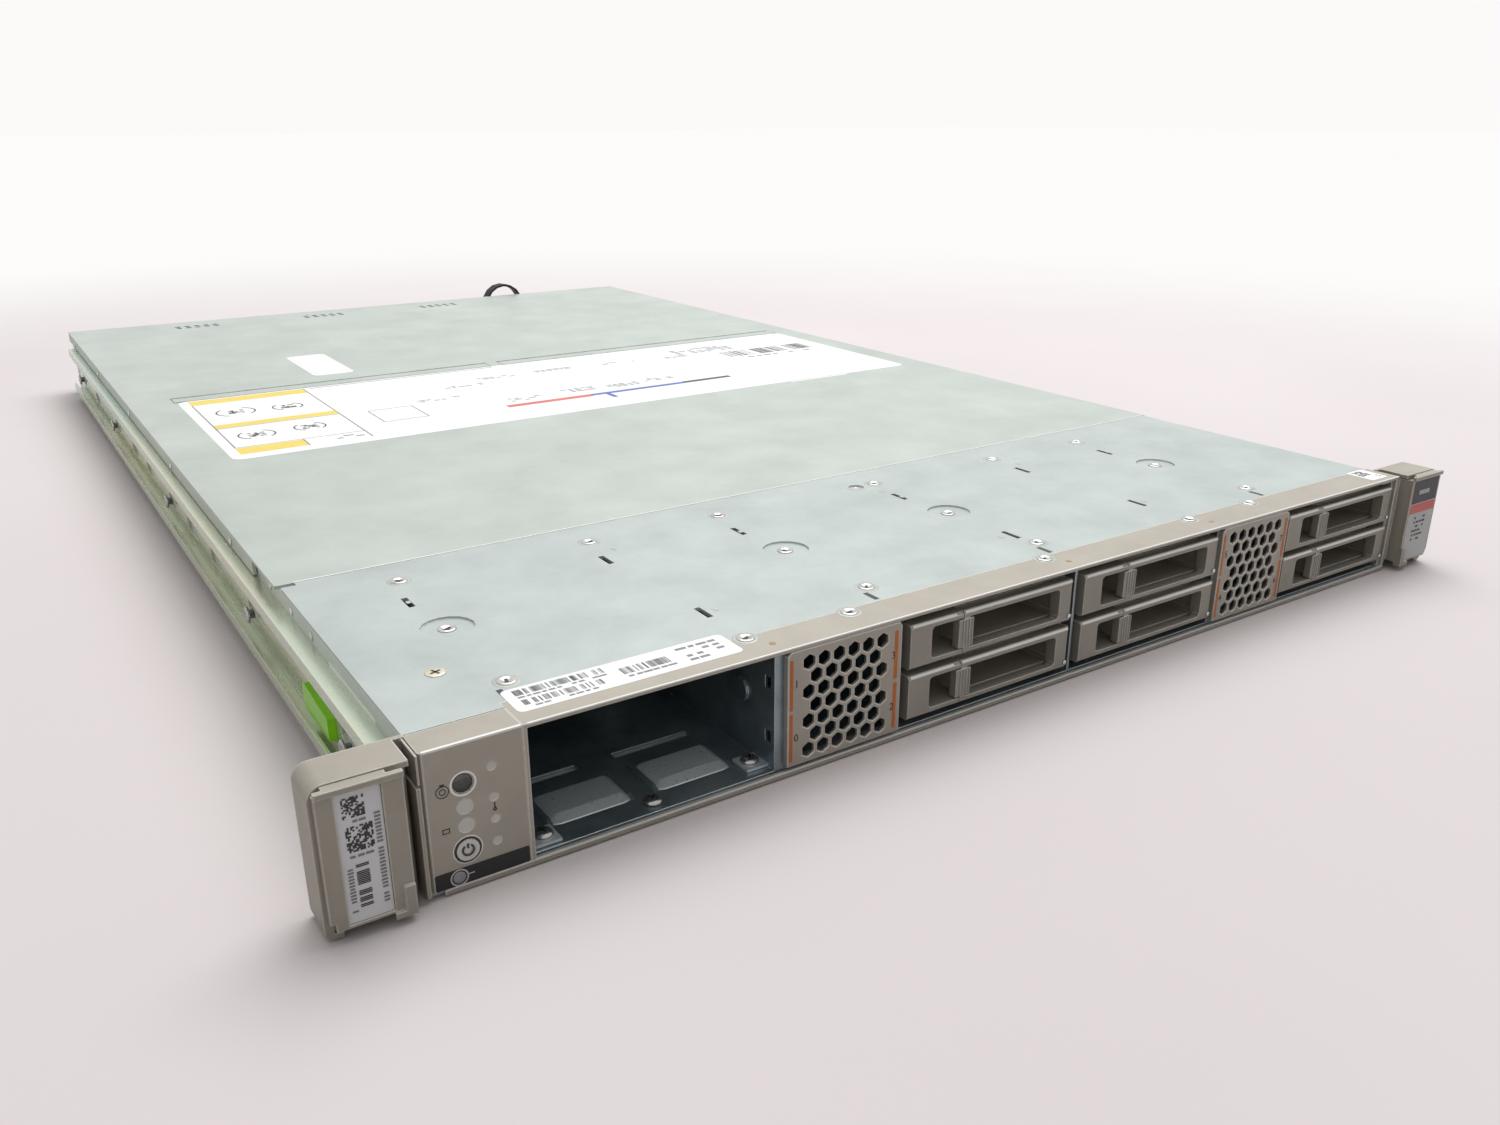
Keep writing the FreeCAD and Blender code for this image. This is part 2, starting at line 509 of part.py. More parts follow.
def make_drive_cage():
    """Zinc cage floor with embossed pads, upright walls between bays and ledges for the fillers."""
    body = new_body("drive_cage")
    start = "lip_depth + cage_sheet / 2"
    pad(body, "top", "base_sheet", "cage_sheet",
        rectangle("control_right", start, INSIDE, "cage_depth"))
    wall_top = UNDERSIDE
    walls = ["bay_left - cage_sheet", "bay_right", "vent_left_start + vent_left_width",
             "(filler_column_one + filler_width + filler_column_two - cage_sheet) / 2",
             "vent_right_start - cage_sheet", "vent_right_start + vent_right_width"]
    for x in walls:
        pad(body, "side", x, "cage_sheet", rectangle(start, FLOOR_TOP, "cage_depth", wall_top))
    flange = rectangle("bay_right", FLOOR_TOP, "bay_right + divider_flange", wall_top)
    pad(body, "front", start, "cage_sheet", flange)
    reach = [("vent_left_start + vent_left_width + cage_sheet", "filler_column_one + arm_thickness"),
             ("filler_column_one + filler_width - arm_thickness", walls[3]),
             (f"{walls[3]} + cage_sheet", "filler_column_two + arm_thickness"),
             ("filler_column_two + filler_width - arm_thickness", walls[4]),
             ("vent_right_start + vent_right_width + cage_sheet", "filler_column_three + arm_thickness")]
    for u0, u1 in reach:
        low = "filler_low + arm_height / 2"
        ledge = pad(body, "front", LEDGE_START, f"cage_depth - ({LEDGE_START})",
                    rectangle(u0, low, u1, f"{low} + ledge_height"))
        row_of(body, [ledge], "Z_Axis", 2, "filler_pitch")
    middle = "(bay_left + bay_right) / 2"
    for sign in (-1, 1):
        near = f"{middle} + {sign} * pad_gap / 2"
        far = f"{middle} + {sign} * (pad_gap / 2 + pad_width)"
        ramp = [("pad_front", FLOOR_TOP), ("pad_front + pad_length", FLOOR_TOP),
                ("pad_front + pad_length", f"{FLOOR_TOP} + pad_height"),
                ("pad_front + 3 * pad_height", f"{FLOOR_TOP} + pad_height")]
        side = near if sign > 0 else far
        pad(body, "side", side, "pad_width", ramp)
    for x in (f"bay_left + cage_slot", f"{middle} + cage_slot"):
        slit = rectangle(x, "2 * pad_length", f"{x} + pad_width", "2 * pad_length + cage_slot")
        pocket(body, "top", "base_sheet - 1", "cage_sheet + 2", slit)
    window = rectangle("boss_radius", f"{FLOOR_TOP} + cage_window_level", "boss_radius + cage_slot",
                       f"{FLOOR_TOP} + cage_window_level + cage_window_height")
    cut = pocket(body, "side", "bay_right - 1", "cage_sheet + 2", window)
    row_of(body, [cut], "Z_Axis", 2, "filler_pitch")
    pad(body, "side", "bay_right - boss_height", "boss_height",
        round_outline("5 * boss_radius", "boss_level", "boss_radius", SMALL_FLATS))
    return body


def make_backplane():
    """Drive backplane board and the eight drive connectors on its front."""
    body = new_body("drive_backplane")
    pad(body, "front", "cage_depth", "backplane_thickness",
        rectangle("bay_left", "backplane_low", f"{INSIDE} - backplane_side", "backplane_high"))
    for name in ("vent_left", "vent_right"):
        hole = rectangle(f"{name}_start + backplane_margin", "backplane_low + backplane_margin",
                         f"{name}_start + {name}_width - backplane_margin",
                         "backplane_high - backplane_margin")
        pocket(body, "front", "cage_depth - 1", "backplane_thickness + 2", hole)
    foot = rectangle("cage_depth", "base_sheet", "cage_depth + backplane_thickness", "backplane_low")
    pad(body, "side", "bay_left + backplane_foot", f"{INSIDE} - bay_left - 2 * backplane_foot", foot)
    sockets = []
    for column in ("bay_left",) + COLUMNS:
        for level in range(2):
            sockets.append(block(f"{column} + (filler_width - connector_width) / 2",
                                 "cage_depth - connector_depth",
                                 f"filler_low + {level} * filler_pitch + connector_rise",
                                 "connector_width", "connector_depth", "connector_height"))
    gather("backplane_connectors", sockets)


def make_vent_plate(label, start, width):
    """Painted vent plate: seven staggered rows of hexagons, with side returns behind the face."""
    body = new_body(label)
    end = f"{start} + {width}"
    face = [(start, "vent_bottom"), (end, "vent_bottom"), (end, "vent_top - vent_round"),
            (f"{end} - vent_round", "vent_top"), (f"{start} + vent_round", "vent_top"),
            (start, "vent_top - vent_round")]
    pad(body, "front", 0, "vent_thickness", face)
    returns = ((start, "vent_thickness"), (f"{start} + {width} - vent_thickness", "vent_thickness"))
    for x, thickness in returns:
        pad(body, "side", x, thickness,
            rectangle(0, "vent_bottom", "vent_return", "vent_top - vent_round"))
    foot = rectangle(f"{start} + vent_thickness", FLOOR_TOP, f"{start} + {width} - vent_thickness",
                     "vent_bottom + vent_thickness")
    pad(body, "front", "lip_depth + vent_thickness", "vent_thickness", foot)
    bridge = rectangle(f"{start} + vent_thickness", "vent_bottom",
                       f"{start} + {width} - vent_thickness", "vent_bottom + vent_thickness")
    pad(body, "front", 0, "lip_depth + 2 * vent_thickness", bridge)
    first = f"{start} + {width} / 2 - 2.5 * hexagon_pitch"
    long_rows = pocket(body, "front", -1, "vent_thickness + 2",
                       hexagon(first, "hexagon_first_row", HEXAGON_CORNER))
    grid_of(body, [long_rows], 6, "hexagon_pitch", 4, "2 * hexagon_rows")
    short_rows = pocket(body, "front", -1, "vent_thickness + 2",
                        hexagon(f"{first} + hexagon_pitch / 2", "hexagon_first_row + hexagon_rows",
                                HEXAGON_CORNER))
    grid_of(body, [short_rows], 5, "hexagon_pitch", 3, "2 * hexagon_rows")
    return body


# --------------------------------------------------------------------------- drive fillers
def bevel_edges(body, start, length):
    """Bevel the top and bottom front edges of a filler's face."""
    for edge, inward in (("0", 1), ("filler_height", -1)):
        wedge = [("-filler_bevel", f"{edge} - {inward} * filler_bevel"),
                 ("filler_bevel", f"{edge} - {inward} * filler_bevel"), ("filler_bevel", edge),
                 ("0", f"{edge} + {inward} * filler_bevel"),
                 ("-filler_bevel", f"{edge} + {inward} * filler_bevel")]
        pocket(body, "side", start, length, wedge)


def make_filler(number, column, level):
    """Moulded drive filler: label block, deep finger pocket, hinge lug and two guide arms."""
    low = f"filler_low + {level} * filler_pitch"
    body = new_body(f"filler_{number}", x=column, z=low)
    pad(body, "front", 0, "filler_body", rectangle(0, 0, "filler_width", "filler_height"))
    bevel_edges(body, 0, "filler_split")
    clear = rectangle("filler_split", -1, "filler_width + 1", LEVER_BACK)
    pocket(body, "top", -1, "filler_height + 2", clear)
    cavity = clipped("filler_window", "filler_rim", "lever_window_end + filler_rim",
                     "filler_height - filler_rim", "filler_round")
    pocket(body, "front", -1, "filler_pocket + 1", cavity)
    middle = "(filler_height - lever_lug_height) / 2"
    arm = rectangle(f"{LEVER_PIVOT_X} - lever_lug_radius", "lever_end_radius",
                    f"{LEVER_PIVOT_X} + lever_lug_radius", f"{LEVER_BACK} + 1")
    pad(body, "top", middle, "lever_lug_height", arm)
    pad(body, "top", middle, "lever_lug_height",
        round_outline(LEVER_PIVOT_X, "lever_end_radius", "lever_lug_radius", SMALL_FLATS))
    bore(body, "top", middle, "lever_lug_height",
         (LEVER_PIVOT_X, "lever_end_radius", "lever_pin_radius + pin_clearance"))
    for x in (0, "filler_width - arm_thickness"):
        side = rectangle("filler_body", "arm_height / 2 + ledge_height + slide_clearance / 2",
                         "filler_arm", "3 * arm_height / 2 + ledge_height")
        pad(body, "side", x, "arm_thickness", side)
    return body


def make_filler_lever(number, column, level):
    """Swing lever of a filler: window frame, grip tab at the free end and a pin at the other."""
    low = f"filler_low + {level} * filler_pitch"
    body = new_body(f"filler_lever_{number}", x=column, z=low)
    start = "filler_split + filler_gap"
    full = "2 * lever_end_radius"
    plate = [(start, 0), (LEVER_PIVOT_X, 0), (LEVER_PIVOT_X, full),
             ("lever_window_end", full), ("lever_window_end", "lever_thickness"),
             (start, "lever_thickness")]
    pad(body, "top", 0, "filler_height", plate)
    pad(body, "top", 0, "filler_height",
        round_outline(LEVER_PIVOT_X, "lever_end_radius", "lever_end_radius", SMALL_FLATS))
    window = clipped("lever_tab_end - 2 * filler_round", "filler_rim", "lever_window_end",
                     "filler_height - filler_rim", "filler_round")
    pocket(body, "front", -1, f"{full} + 2", window)
    bevel_edges(body, start, f"filler_width - ({start})")
    tab = rectangle("lever_tab_start", "lever_tab_inset", "lever_tab_end",
                    "filler_height - lever_tab_inset")
    pad(body, "front", "-filler_gap / 2", "lever_thickness", tab)
    bridge = rectangle(start, "filler_rim / 2", "lever_tab_end", "filler_height - filler_rim / 2")
    pad(body, "front", "lever_thickness / 2", "lever_thickness / 2", bridge)
    hook = rectangle(start, "lever_tab_inset + filler_gap", "lever_tab_end - filler_gap",
                     "filler_height - lever_tab_inset - filler_gap")
    pad(body, "front", "lever_thickness / 2", "lever_tab_depth", hook)
    notch_low = "(filler_height - lever_lug_height) / 2 - lever_angle_clearance"
    notch_height = "lever_lug_height + 2 * lever_angle_clearance"
    skin = "lever_end_radius - lever_lug_radius - pin_clearance * 3"
    notch = rectangle("lever_window_end + 1", skin, "filler_width + 1", f"{full} + 1")
    pocket(body, "top", notch_low, notch_height, notch)
    pad(body, "top", notch_low, notch_height,
        round_outline(LEVER_PIVOT_X, "lever_end_radius", "lever_pin_radius", SMALL_FLATS))
    return body


def make_fillers():
    """Six fillers in three columns; the lower one of each pair has the even number."""
    for place_number, column in enumerate(COLUMNS):
        for level in range(2):
            number = 2 + 2 * place_number + level
            make_filler(number, column, level)
            make_filler_lever(number, column, level)


# --------------------------------------------------------------------------- control panel
def make_control_panel():
    """Moulded control panel with wells for two buttons and seats for the lamps."""
    body = new_body("control_panel")
    pad(body, "top", "lip_height", "chassis_height - lip_height",
        [(CONTROL_LEFT, "control_edge"), (f"{CONTROL_LEFT} + control_edge", 0),
         ("control_right", 0), ("control_right", "control_depth"), (CONTROL_LEFT, "control_depth")])
    well = "button_length + button_travel + control_wall"
    pocket(body, "top", "lip_height + control_wall", "chassis_height - lip_height - 2 * control_wall",
           rectangle(f"{CONTROL_LEFT} + control_wall", well, "control_right - control_wall",
                     "control_depth + 1"))
    for button in ("power", "locate"):
        pocket(body, "front", -1, "button_length + button_travel + button_room",
               round_outline(button + "_x", button + "_z", button + "_radius"))
    for x, z, radius in LAMPS:
        pocket(body, "front", -1, "lamp_depth + 1", round_outline(x, z, radius, SMALL_FLATS))
    return body


def make_buttons_and_lamps():
    """Round push buttons with a retaining stem, and the lamp lenses in one group."""
    for name in ("power", "locate"):
        body = new_body(name + "_button")
        centre = (name + "_x", name + "_z")
        front = name + "_front"
        cap = round_outline(*centre, f"{name}_radius - button_clearance")
        pad(body, "front", front, f"button_length - {front}", cap)
        pocket(body, "front", -1, f"button_dish + 1 + {front}",
               round_outline(*centre, f"{name}_radius - button_rim"))
    lenses = [prism("Y", x, 0, z, radius, "lamp_depth") for x, z, radius in LAMPS]
    gather("indicator_lights", lenses)


# --------------------------------------------------------------------------- ears and latches
def make_ear(label, sign):
    """Rack ear: plate on the chassis corner, rounded shroud, foot, and a bead beside the panel."""
    body = new_body(label)
    inner = "chassis_width / 2" if sign > 0 else SIDE
    start = f"{inner} + ear_gap"
    shell = rectangle(start, 0, "ear_outer", "ear_height")
    pad(body, "front", "ear_front", "ear_back - ear_front",
        mirrored(rounded(shell, {1: "ear_round / 2", 2: "ear_round"}), sign))
    room = rectangle(f"{start} - 1", -1, "ear_outer - ear_wall", "ear_height - ear_wall")
    pocket(body, "front", "ear_front - 1", "ear_back - ear_plate - ear_front + 1",
           mirrored(rounded(room, {2: "ear_round - ear_wall"}), sign))
    pad(body, "front", "ear_back - ear_plate", "ear_plate",
        mirrored(rectangle(inner, 0, f"{start} + 1", "ear_height"), sign))
    post = rectangle("ear_outer - ear_post", 0, "ear_outer", "ear_post_height")
    pad(body, "front", "ear_front", "ear_back - ear_front",
        mirrored(rounded(post, {1: "ear_round / 2"}), sign))
    foot = rectangle("ear_outer - ear_hook", 0, "ear_outer - ear_round / 2", "ear_wall")
    pad(body, "front", "ear_front", "ear_back - ear_front", mirrored(foot, sign))
    if sign < 0:
        near = f"{inner} + ear_bead_gap"
        for low, high, width in (("base_sheet", "ear_bead_step", "ear_bead"),
                                 ("ear_bead_step + ear_wall / 2", "chassis_height", "ear_bead / 2")):
            bead = rectangle(near, low, f"{near} + {width}", high)
            pad(body, "front", "ear_bead_front", "ear_back - ear_plate - ear_bead_front",
                mirrored(bead, sign))
    return body


def make_latch(label, sign):
    """Ear latch: T-shaped grip lip, ribbed face with a tag slot, clip, knuckle on the pivot pin."""
    body = new_body(label)
    back = "latch_face + latch_thickness"
    height = "latch_top - latch_bottom"
    pad(body, "top", "latch_bottom", height,
        mirrored(rectangle("latch_inner", "latch_face", "latch_outer", back), sign))
    arm = [("latch_pivot_x", "latch_pivot_y - latch_knuckle / 2"),
           ("latch_inner", f"{back} - latch_arm"), ("latch_slot_inner", f"{back} - latch_arm"),
           ("latch_slot_inner", f"{back} + latch_arm"),
           ("latch_pivot_x", "latch_pivot_y + latch_knuckle / 2")]
    pad(body, "top", "latch_bottom", height, mirrored(arm, sign))
    pad(body, "top", "latch_bottom", height,
        round_outline(f"{sign} * latch_pivot_x", "latch_pivot_y", "latch_knuckle", SMALL_FLATS))
    slot = rectangle("latch_slot_inner", "latch_face - 1", "latch_slot_outer",
                     "latch_face + latch_slot_depth")
    pocket(body, "top", "latch_bottom + latch_slot_rise", height, mirrored(slot, sign))
    corner_cut = rectangle("ear_outer - ear_post - pin_clearance", "latch_face - 1", "ear_outer",
                           f"{back} + 1")
    pocket(body, "top", "latch_bottom - 1", "ear_post_height - latch_bottom + 1",
           mirrored(corner_cut, sign))
    lip = [("latch_inner", "latch_face - latch_lip"), ("latch_outer", "latch_face - latch_lip"),
           ("latch_outer", "latch_face - latch_lip + latch_bar"),
           ("latch_outer - latch_notch_outer", "latch_face - latch_lip + latch_bar"),
           ("latch_outer - latch_notch_outer", back), ("latch_inner + latch_notch_inner", back),
           ("latch_inner + latch_notch_inner", "latch_face - latch_lip + latch_bar"),
           ("latch_inner", "latch_face - latch_lip + latch_bar")]
    pad(body, "top", "latch_top", "latch_lip_height", mirrored(lip, sign))
    for width, high in (("latch_clip", "latch_clip_top"),
                        ("latch_foot", "latch_clip_low + latch_foot_height")):
        clip = rectangle("latch_inner", "latch_clip_low", f"latch_inner + {width}", high)
        pad(body, "front", "latch_face - latch_clip_stand", "latch_clip_stand + latch_thickness",
            mirrored(clip, sign))
    bore(body, "top", "latch_bottom - 1", "latch_top + latch_lip_height + 2",
         (f"{sign} * latch_pivot_x", "latch_pivot_y", "latch_pin_radius + pin_clearance"))
    return body


def make_ears():
    """Both ears, their latches, the two pivot pins and the pull-out tag in the left latch."""
    pins = []
    for label, sign in (("left", -1), ("right", 1)):
        make_ear(label + "_ear", sign)
        make_latch(label + "_latch", sign)
        x = f"{sign} * latch_pivot_x"
        pin = prism("Z", x, "latch_pivot_y", "pin_rise", "latch_pin_radius",
                    "ear_height - ear_wall - pin_rise")
        seat = block(f"{x} - ear_wall / 2", "latch_pivot_y", "pin_rise", "ear_wall",
                     "ear_back - ear_plate - latch_pivot_y", "latch_bottom - 2 * pin_rise")
        pins.append(join([pin, seat]))
    gather("latch_pins", pins)
    card = block("card_clearance - latch_slot_outer",
                 "latch_face + latch_slot_depth - card_thickness", "latch_bottom + latch_slot_rise",
                 "latch_slot_outer - latch_slot_inner - 2 * card_clearance", "card_thickness",
                 "latch_top - latch_bottom - latch_slot_rise - card_gap")
    gather("tag_card", [card])


# --------------------------------------------------------------------------- slide rails
def make_rail(label, sign):
    """Inner slide member: channel with hemmed lips, key holes over the wall studs and windows."""
    body = new_body(label)
    back = SIDE
    out = f"{SIDE} + rail_stand"
    web = f"{SIDE} + rail_sheet"
    hem = f"{out} - rail_sheet"
    profile = [(back, "rail_low"), (out, "rail_low"), (out, "rail_low + rail_hem"),
               (hem, "rail_low + rail_hem"), (hem, "rail_low + rail_sheet"),
               (web, "rail_low + rail_sheet"), (web, "rail_high - rail_sheet"),
               (hem, "rail_high - rail_sheet"), (hem, "rail_high - rail_hem"),
               (out, "rail_high - rail_hem"), (out, "rail_high"), (back, "rail_high")]
    pad(body, "front", "rail_start", "rail_end - rail_start", mirrored(profile, sign))
    side = f"{SIDE} - 1" if sign > 0 else f"-({SIDE}) - rail_sheet - 1"
    for y in RAIL_KEYHOLES:
        hole = clipped(f"{y} - keyhole_radius", "rail_middle - keyhole_radius",
                       f"{y} + keyhole_length", "rail_middle + keyhole_radius", "keyhole_radius * 0.6")
        pocket(body, "side", side, "rail_sheet + 2", hole)
    for y in RAIL_WINDOWS:
        window = rectangle(y, "rail_middle - window_height / 2", f"{y} + window_length",
                           "rail_middle + window_height / 2")
        pocket(body, "side", side, "rail_sheet + 2", window)
    run = rectangle(f"{RAIL_TAB_MIDDLE} - rail_foot_length / 2 - rail_tab_travel - slide_clearance",
                    f"{RAIL_FOOT_LOW} - slide_clearance",
                    f"{RAIL_TAB_MIDDLE} + rail_foot_length / 2 + slide_clearance",
                    f"{RAIL_FOOT_LOW} + rail_foot_height + slide_clearance")
    pocket(body, "side", side, "rail_sheet + 2", run)
    return body


def make_rail_tab(label, sign):
    """Release tab that slides forward in the rail's slot."""
    body = new_body(label)
    inner = f"{SIDE} + rail_sheet + pin_clearance" if sign > 0 else \
        f"-({SIDE}) - rail_sheet - pin_clearance - rail_tab_thickness"
    outline = [("rail_tab_start", "rail_tab_low"), ("rail_tab_end - rail_tab_bevel", "rail_tab_low"),
               ("rail_tab_end", "rail_tab_low + rail_tab_bevel"),
               ("rail_tab_end", "rail_tab_high - rail_tab_taper / 2"),
               ("rail_tab_end - rail_tab_bevel", "rail_tab_high"),
               ("rail_tab_start", "rail_tab_high - rail_tab_taper")]
    pad(body, "side", inner, "rail_tab_thickness", outline)
    foot = rectangle(f"{RAIL_TAB_MIDDLE} - rail_foot_length / 2", RAIL_FOOT_LOW,
                     f"{RAIL_TAB_MIDDLE} + rail_foot_length / 2", f"{RAIL_FOOT_LOW} + rail_foot_height")
    start = f"{SIDE} + pin_clearance" if sign > 0 else \
        f"-({SIDE}) - rail_sheet - pin_clearance - rail_foot_lap"
    pad(body, "side", start, "rail_sheet + rail_foot_lap", foot)
    return body


# --------------------------------------------------------------------------- cover and its latches
LATCH_SPANS = (("cover_latch_left", "cover_latch_middle"), ("cover_latch_resume", "cover_latch_right"))


def make_top_cover():
    """Lift-off cover: sheet with two latch openings and their hinge rods, rear vents, side skirts."""
    body = new_body("top_cover")
    edge = "chassis_width / 2"
    front = "panel_depth + seam_gap"
    pad(body, "top", UNDERSIDE, "top_sheet",
        rectangle(f"-{edge}", front, edge, "chassis_depth"))
    hinge_z = "chassis_height - cover_latch_radius"
    for left, right in LATCH_SPANS:
        opening = rectangle(f"{left} - filler_gap", "cover_latch_front - cover_latch_gap",
                            f"{right} + filler_gap",
                            "cover_latch_pivot + cover_latch_radius + filler_gap")
        pocket(body, "top", f"{UNDERSIDE} - 1", "top_sheet + 2", opening)
        bracket = rectangle("cover_latch_pivot - 2 * cover_latch_radius",
                            f"{hinge_z} - cover_pin_radius - pin_wall",
                            "cover_latch_pivot + 2 * cover_latch_radius", f"{UNDERSIDE} + top_sheet / 2")
        pad(body, "side", f"{left} - filler_gap - cover_bracket", "cover_bracket", bracket)
        pad(body, "side", f"{right} + filler_gap", "cover_bracket", bracket)
        pad(body, "side", f"{left} - filler_gap - cover_bracket / 2",
            f"{right} - {left} + 2 * filler_gap + cover_bracket",
            round_outline("cover_latch_pivot", hinge_z, "cover_pin_radius", SMALL_FLATS))
    for cluster in range(3):
        x = f"cover_vent_first + {cluster} * cover_vent_spread"
        hole = pocket(body, "top", f"{UNDERSIDE} - 1", "top_sheet + 2",
                      hexagon(f"{x} - 2 * cover_vent_pitch",
                              "chassis_depth - cover_vent_setback - cover_vent_pitch",
                              "cover_vent_flats / sqrt(3)"))
        grid_of(body, [hole], 5, "cover_vent_pitch", 2, "cover_vent_pitch", ("X_Axis", "Y_Axis"))
    skirts = []
    for x in (f"-{edge}", f"{edge} - top_sheet"):
        skirts.append(block(x, "skirt_start", "chassis_height - skirt_height", "top_sheet",
                            "chassis_depth - skirt_start", "skirt_height - top_sheet"))
    gather("cover_skirts", skirts)


def make_cover_latch(label, left, right):
    """Flush latch flap that turns on its rear rod."""
    body = new_body(label)
    pivot = "cover_latch_pivot"
    top = "chassis_height"
    hinge_z = f"{top} - cover_latch_radius"
    plate = rectangle("cover_latch_front", f"{top} - cover_latch_sheet", pivot, top)
    pad(body, "side", left, f"{right} - {left}", plate)
    pad(body, "side", left, f"{right} - {left}",
        round_outline(pivot, hinge_z, "cover_latch_radius", SMALL_FLATS))
    bore(body, "side", f"{left} - 1", f"{right} - {left} + 2",
         (pivot, hinge_z, "cover_pin_radius + pin_clearance"))
    return body


# --------------------------------------------------------------------------- boards and coolers
COOLER_FINS = 11


def make_motherboard():
    """Main board behind the fans, cut away round the power supplies."""
    body = new_body("motherboard")
    edge = f"{INSIDE} - board_margin"
    back = BOARD_BACK
    bay = "chassis_depth - supply_length - 2 * board_margin"
    outline = [(f"-({edge})", "board_front"), (edge, "board_front"), (edge, bay),
               ("supply_wall_x - board_margin", bay), ("supply_wall_x - board_margin", back),
               (f"-({edge})", back)]
    pad(body, "top", "board_height", "board_thickness", outline)
    top = "board_height + board_thickness"
    for left in ("cooler_left", "cooler_right"):
        pad(body, "top", top, "socket_height",
            rectangle(f"{left} + socket_inset", "cooler_front + socket_inset",
                      f"{left} + cooler_width - socket_inset",
                      "cooler_front + cooler_length - socket_inset"))
    return body


def make_heatsinks():
    """Two finned processor coolers."""
    low = "board_height + board_thickness + socket_height"
    coolers = []
    for left in ("cooler_left", "cooler_right"):
        foot = block(left, "cooler_front", low, "cooler_width", "cooler_length", "cooler_base")
        fins = []
        for number in range(COOLER_FINS):
            fins.append(block(f"{left} + {number} * (cooler_width - cooler_fin) / {COOLER_FINS - 1}",
                              "cooler_front", f"{low} + cooler_base", "cooler_fin", "cooler_length",
                              f"cooler_top - ({low}) - cooler_base"))
        coolers.append(join([foot] + fins))
    gather("heatsinks", coolers)


def make_memory():
    """Memory modules standing in their sockets on both sides of each cooler."""
    low = "board_height + board_thickness"
    banks = ("cooler_left - 1.2 * memory_socket - 4 * memory_pitch",
             "cooler_left + cooler_width + memory_socket",
             "cooler_right + cooler_width + memory_socket")
    modules = []
    for bank in banks:
        for number in range(4):
            x = f"{bank} + {number} * memory_pitch"
            socket = block(f"{x} - memory_socket / 2", "memory_front - memory_socket_end", low,
                           "memory_socket", "memory_length + 2 * memory_socket_end", "memory_socket")
            card = block(f"{x} - memory_thickness / 2", "memory_front", f"{low} + memory_socket / 2",
                         "memory_thickness", "memory_length", f"memory_top - ({low}) - memory_socket / 2")
            modules.append(join([socket, card]))
    gather("memory_modules", modules)


# --------------------------------------------------------------------------- fans
FAN_BLADES = 7
FAN_FLATS = 2 * FAN_BLADES


def fan_centre(number):
    """X position of one of the four fans."""
    return f"({number} - 2.5) * (fan_width + fan_gap)"


def make_fan_frame(number):
    """Fan module shell with a round duct, three rear spokes and a motor cup."""
    x = fan_centre(number)
    body = new_body(f"fan_frame_{number}")
    pad(body, "top", "fan_low", "fan_high - fan_low",
        rectangle(f"{x} - fan_width / 2", "fan_front", f"{x} + fan_width / 2", "fan_front + fan_length"))
    middle = "(fan_low + fan_high) / 2"
    pocket(body, "front", "fan_front - 1", "fan_length + 2", polygon(x, middle, "fan_bore", FAN_FLATS))
    back = "fan_front + fan_rotor_length + 2 * fan_cup_gap"
    pad(body, "front", back, "fan_cup", polygon(x, middle, "fan_hub", FAN_FLATS))
    bore(body, "front", "fan_front", "fan_length", (x, middle, "fan_shaft + pin_clearance"))
    for start in (f"{x} + fan_hub - 1", f"{x} - fan_bore - 1"):
        pad(body, "front", back, "fan_cup",
            rectangle(start, f"{middle} - fan_spokes / 2", f"{start} + fan_bore - fan_hub + 2",
                      f"{middle} + fan_spokes / 2"))
    return body


def make_fan_rotor(number):
    """Seven pitched blades round a hub, on a shaft that runs in the motor cup."""
    middle = "(fan_low + fan_high) / 2"
    body = new_body(f"fan_rotor_{number}", x=fan_centre(number), y=f"{FRONT} + fan_front", z=middle)
    pad(body, "front", "fan_cup_gap", "fan_rotor_length", polygon(0, 0, "fan_hub", FAN_FLATS))
    pad(body, "front", "fan_cup_gap + fan_rotor_length / 2",
        "fan_rotor_length / 2 + fan_cup_gap + fan_cup", round_outline(0, 0, "fan_shaft", SMALL_FLATS))
    lead = "(fan_rotor_length - fan_chord) / 2 + fan_cup_gap"
    profile = [(lead, "-fan_blade_lift"), (f"{lead} + 1.6 * fan_blade", "-fan_blade_lift"),
               (f"{lead} + fan_chord", "fan_blade_lift"),
               (f"{lead} + fan_chord - 1.6 * fan_blade", "fan_blade_lift")]
    blade = pad(body, "side", "fan_hub - 2 * fan_blade", "fan_tip - fan_hub + 2 * fan_blade", profile)
    ring = body.newObject("PartDesign::PolarPattern", "ring")
    ring.Originals = [blade]
    ring.Axis = axis_of(body, "Y_Axis")
    ring.Angle = 360
    ring.Occurrences = FAN_BLADES
    body.Tip = ring
    return body


def make_air_duct():
    """Air duct that leads the fan outlets over the coolers."""
    body = new_body("air_duct")
    start = "fan_front + fan_length"
    low = "board_height + board_thickness + duct_rise"
    top = "fan_high"
    reach = f"{INSIDE} - duct_side"
    profile = [(f"-({reach})", low), (f"-({reach}) + duct_sheet", low),
               (f"-({reach}) + duct_sheet", f"{top} - duct_sheet"),
               (f"{reach} - duct_sheet", f"{top} - duct_sheet"),
               (f"{reach} - duct_sheet", low), (reach, low), (reach, top), (f"-({reach})", top)]
    pad(body, "front", start, "duct_length", profile)
    return body


# --------------------------------------------------------------------------- rear wall
def network_x(number):
    """Left side of a network socket."""
    return f"network_first + {number} * network_pitch"


def bus_x(number):
    """Left side of a serial-bus socket."""
    return f"bus_first + {number} * bus_pitch"


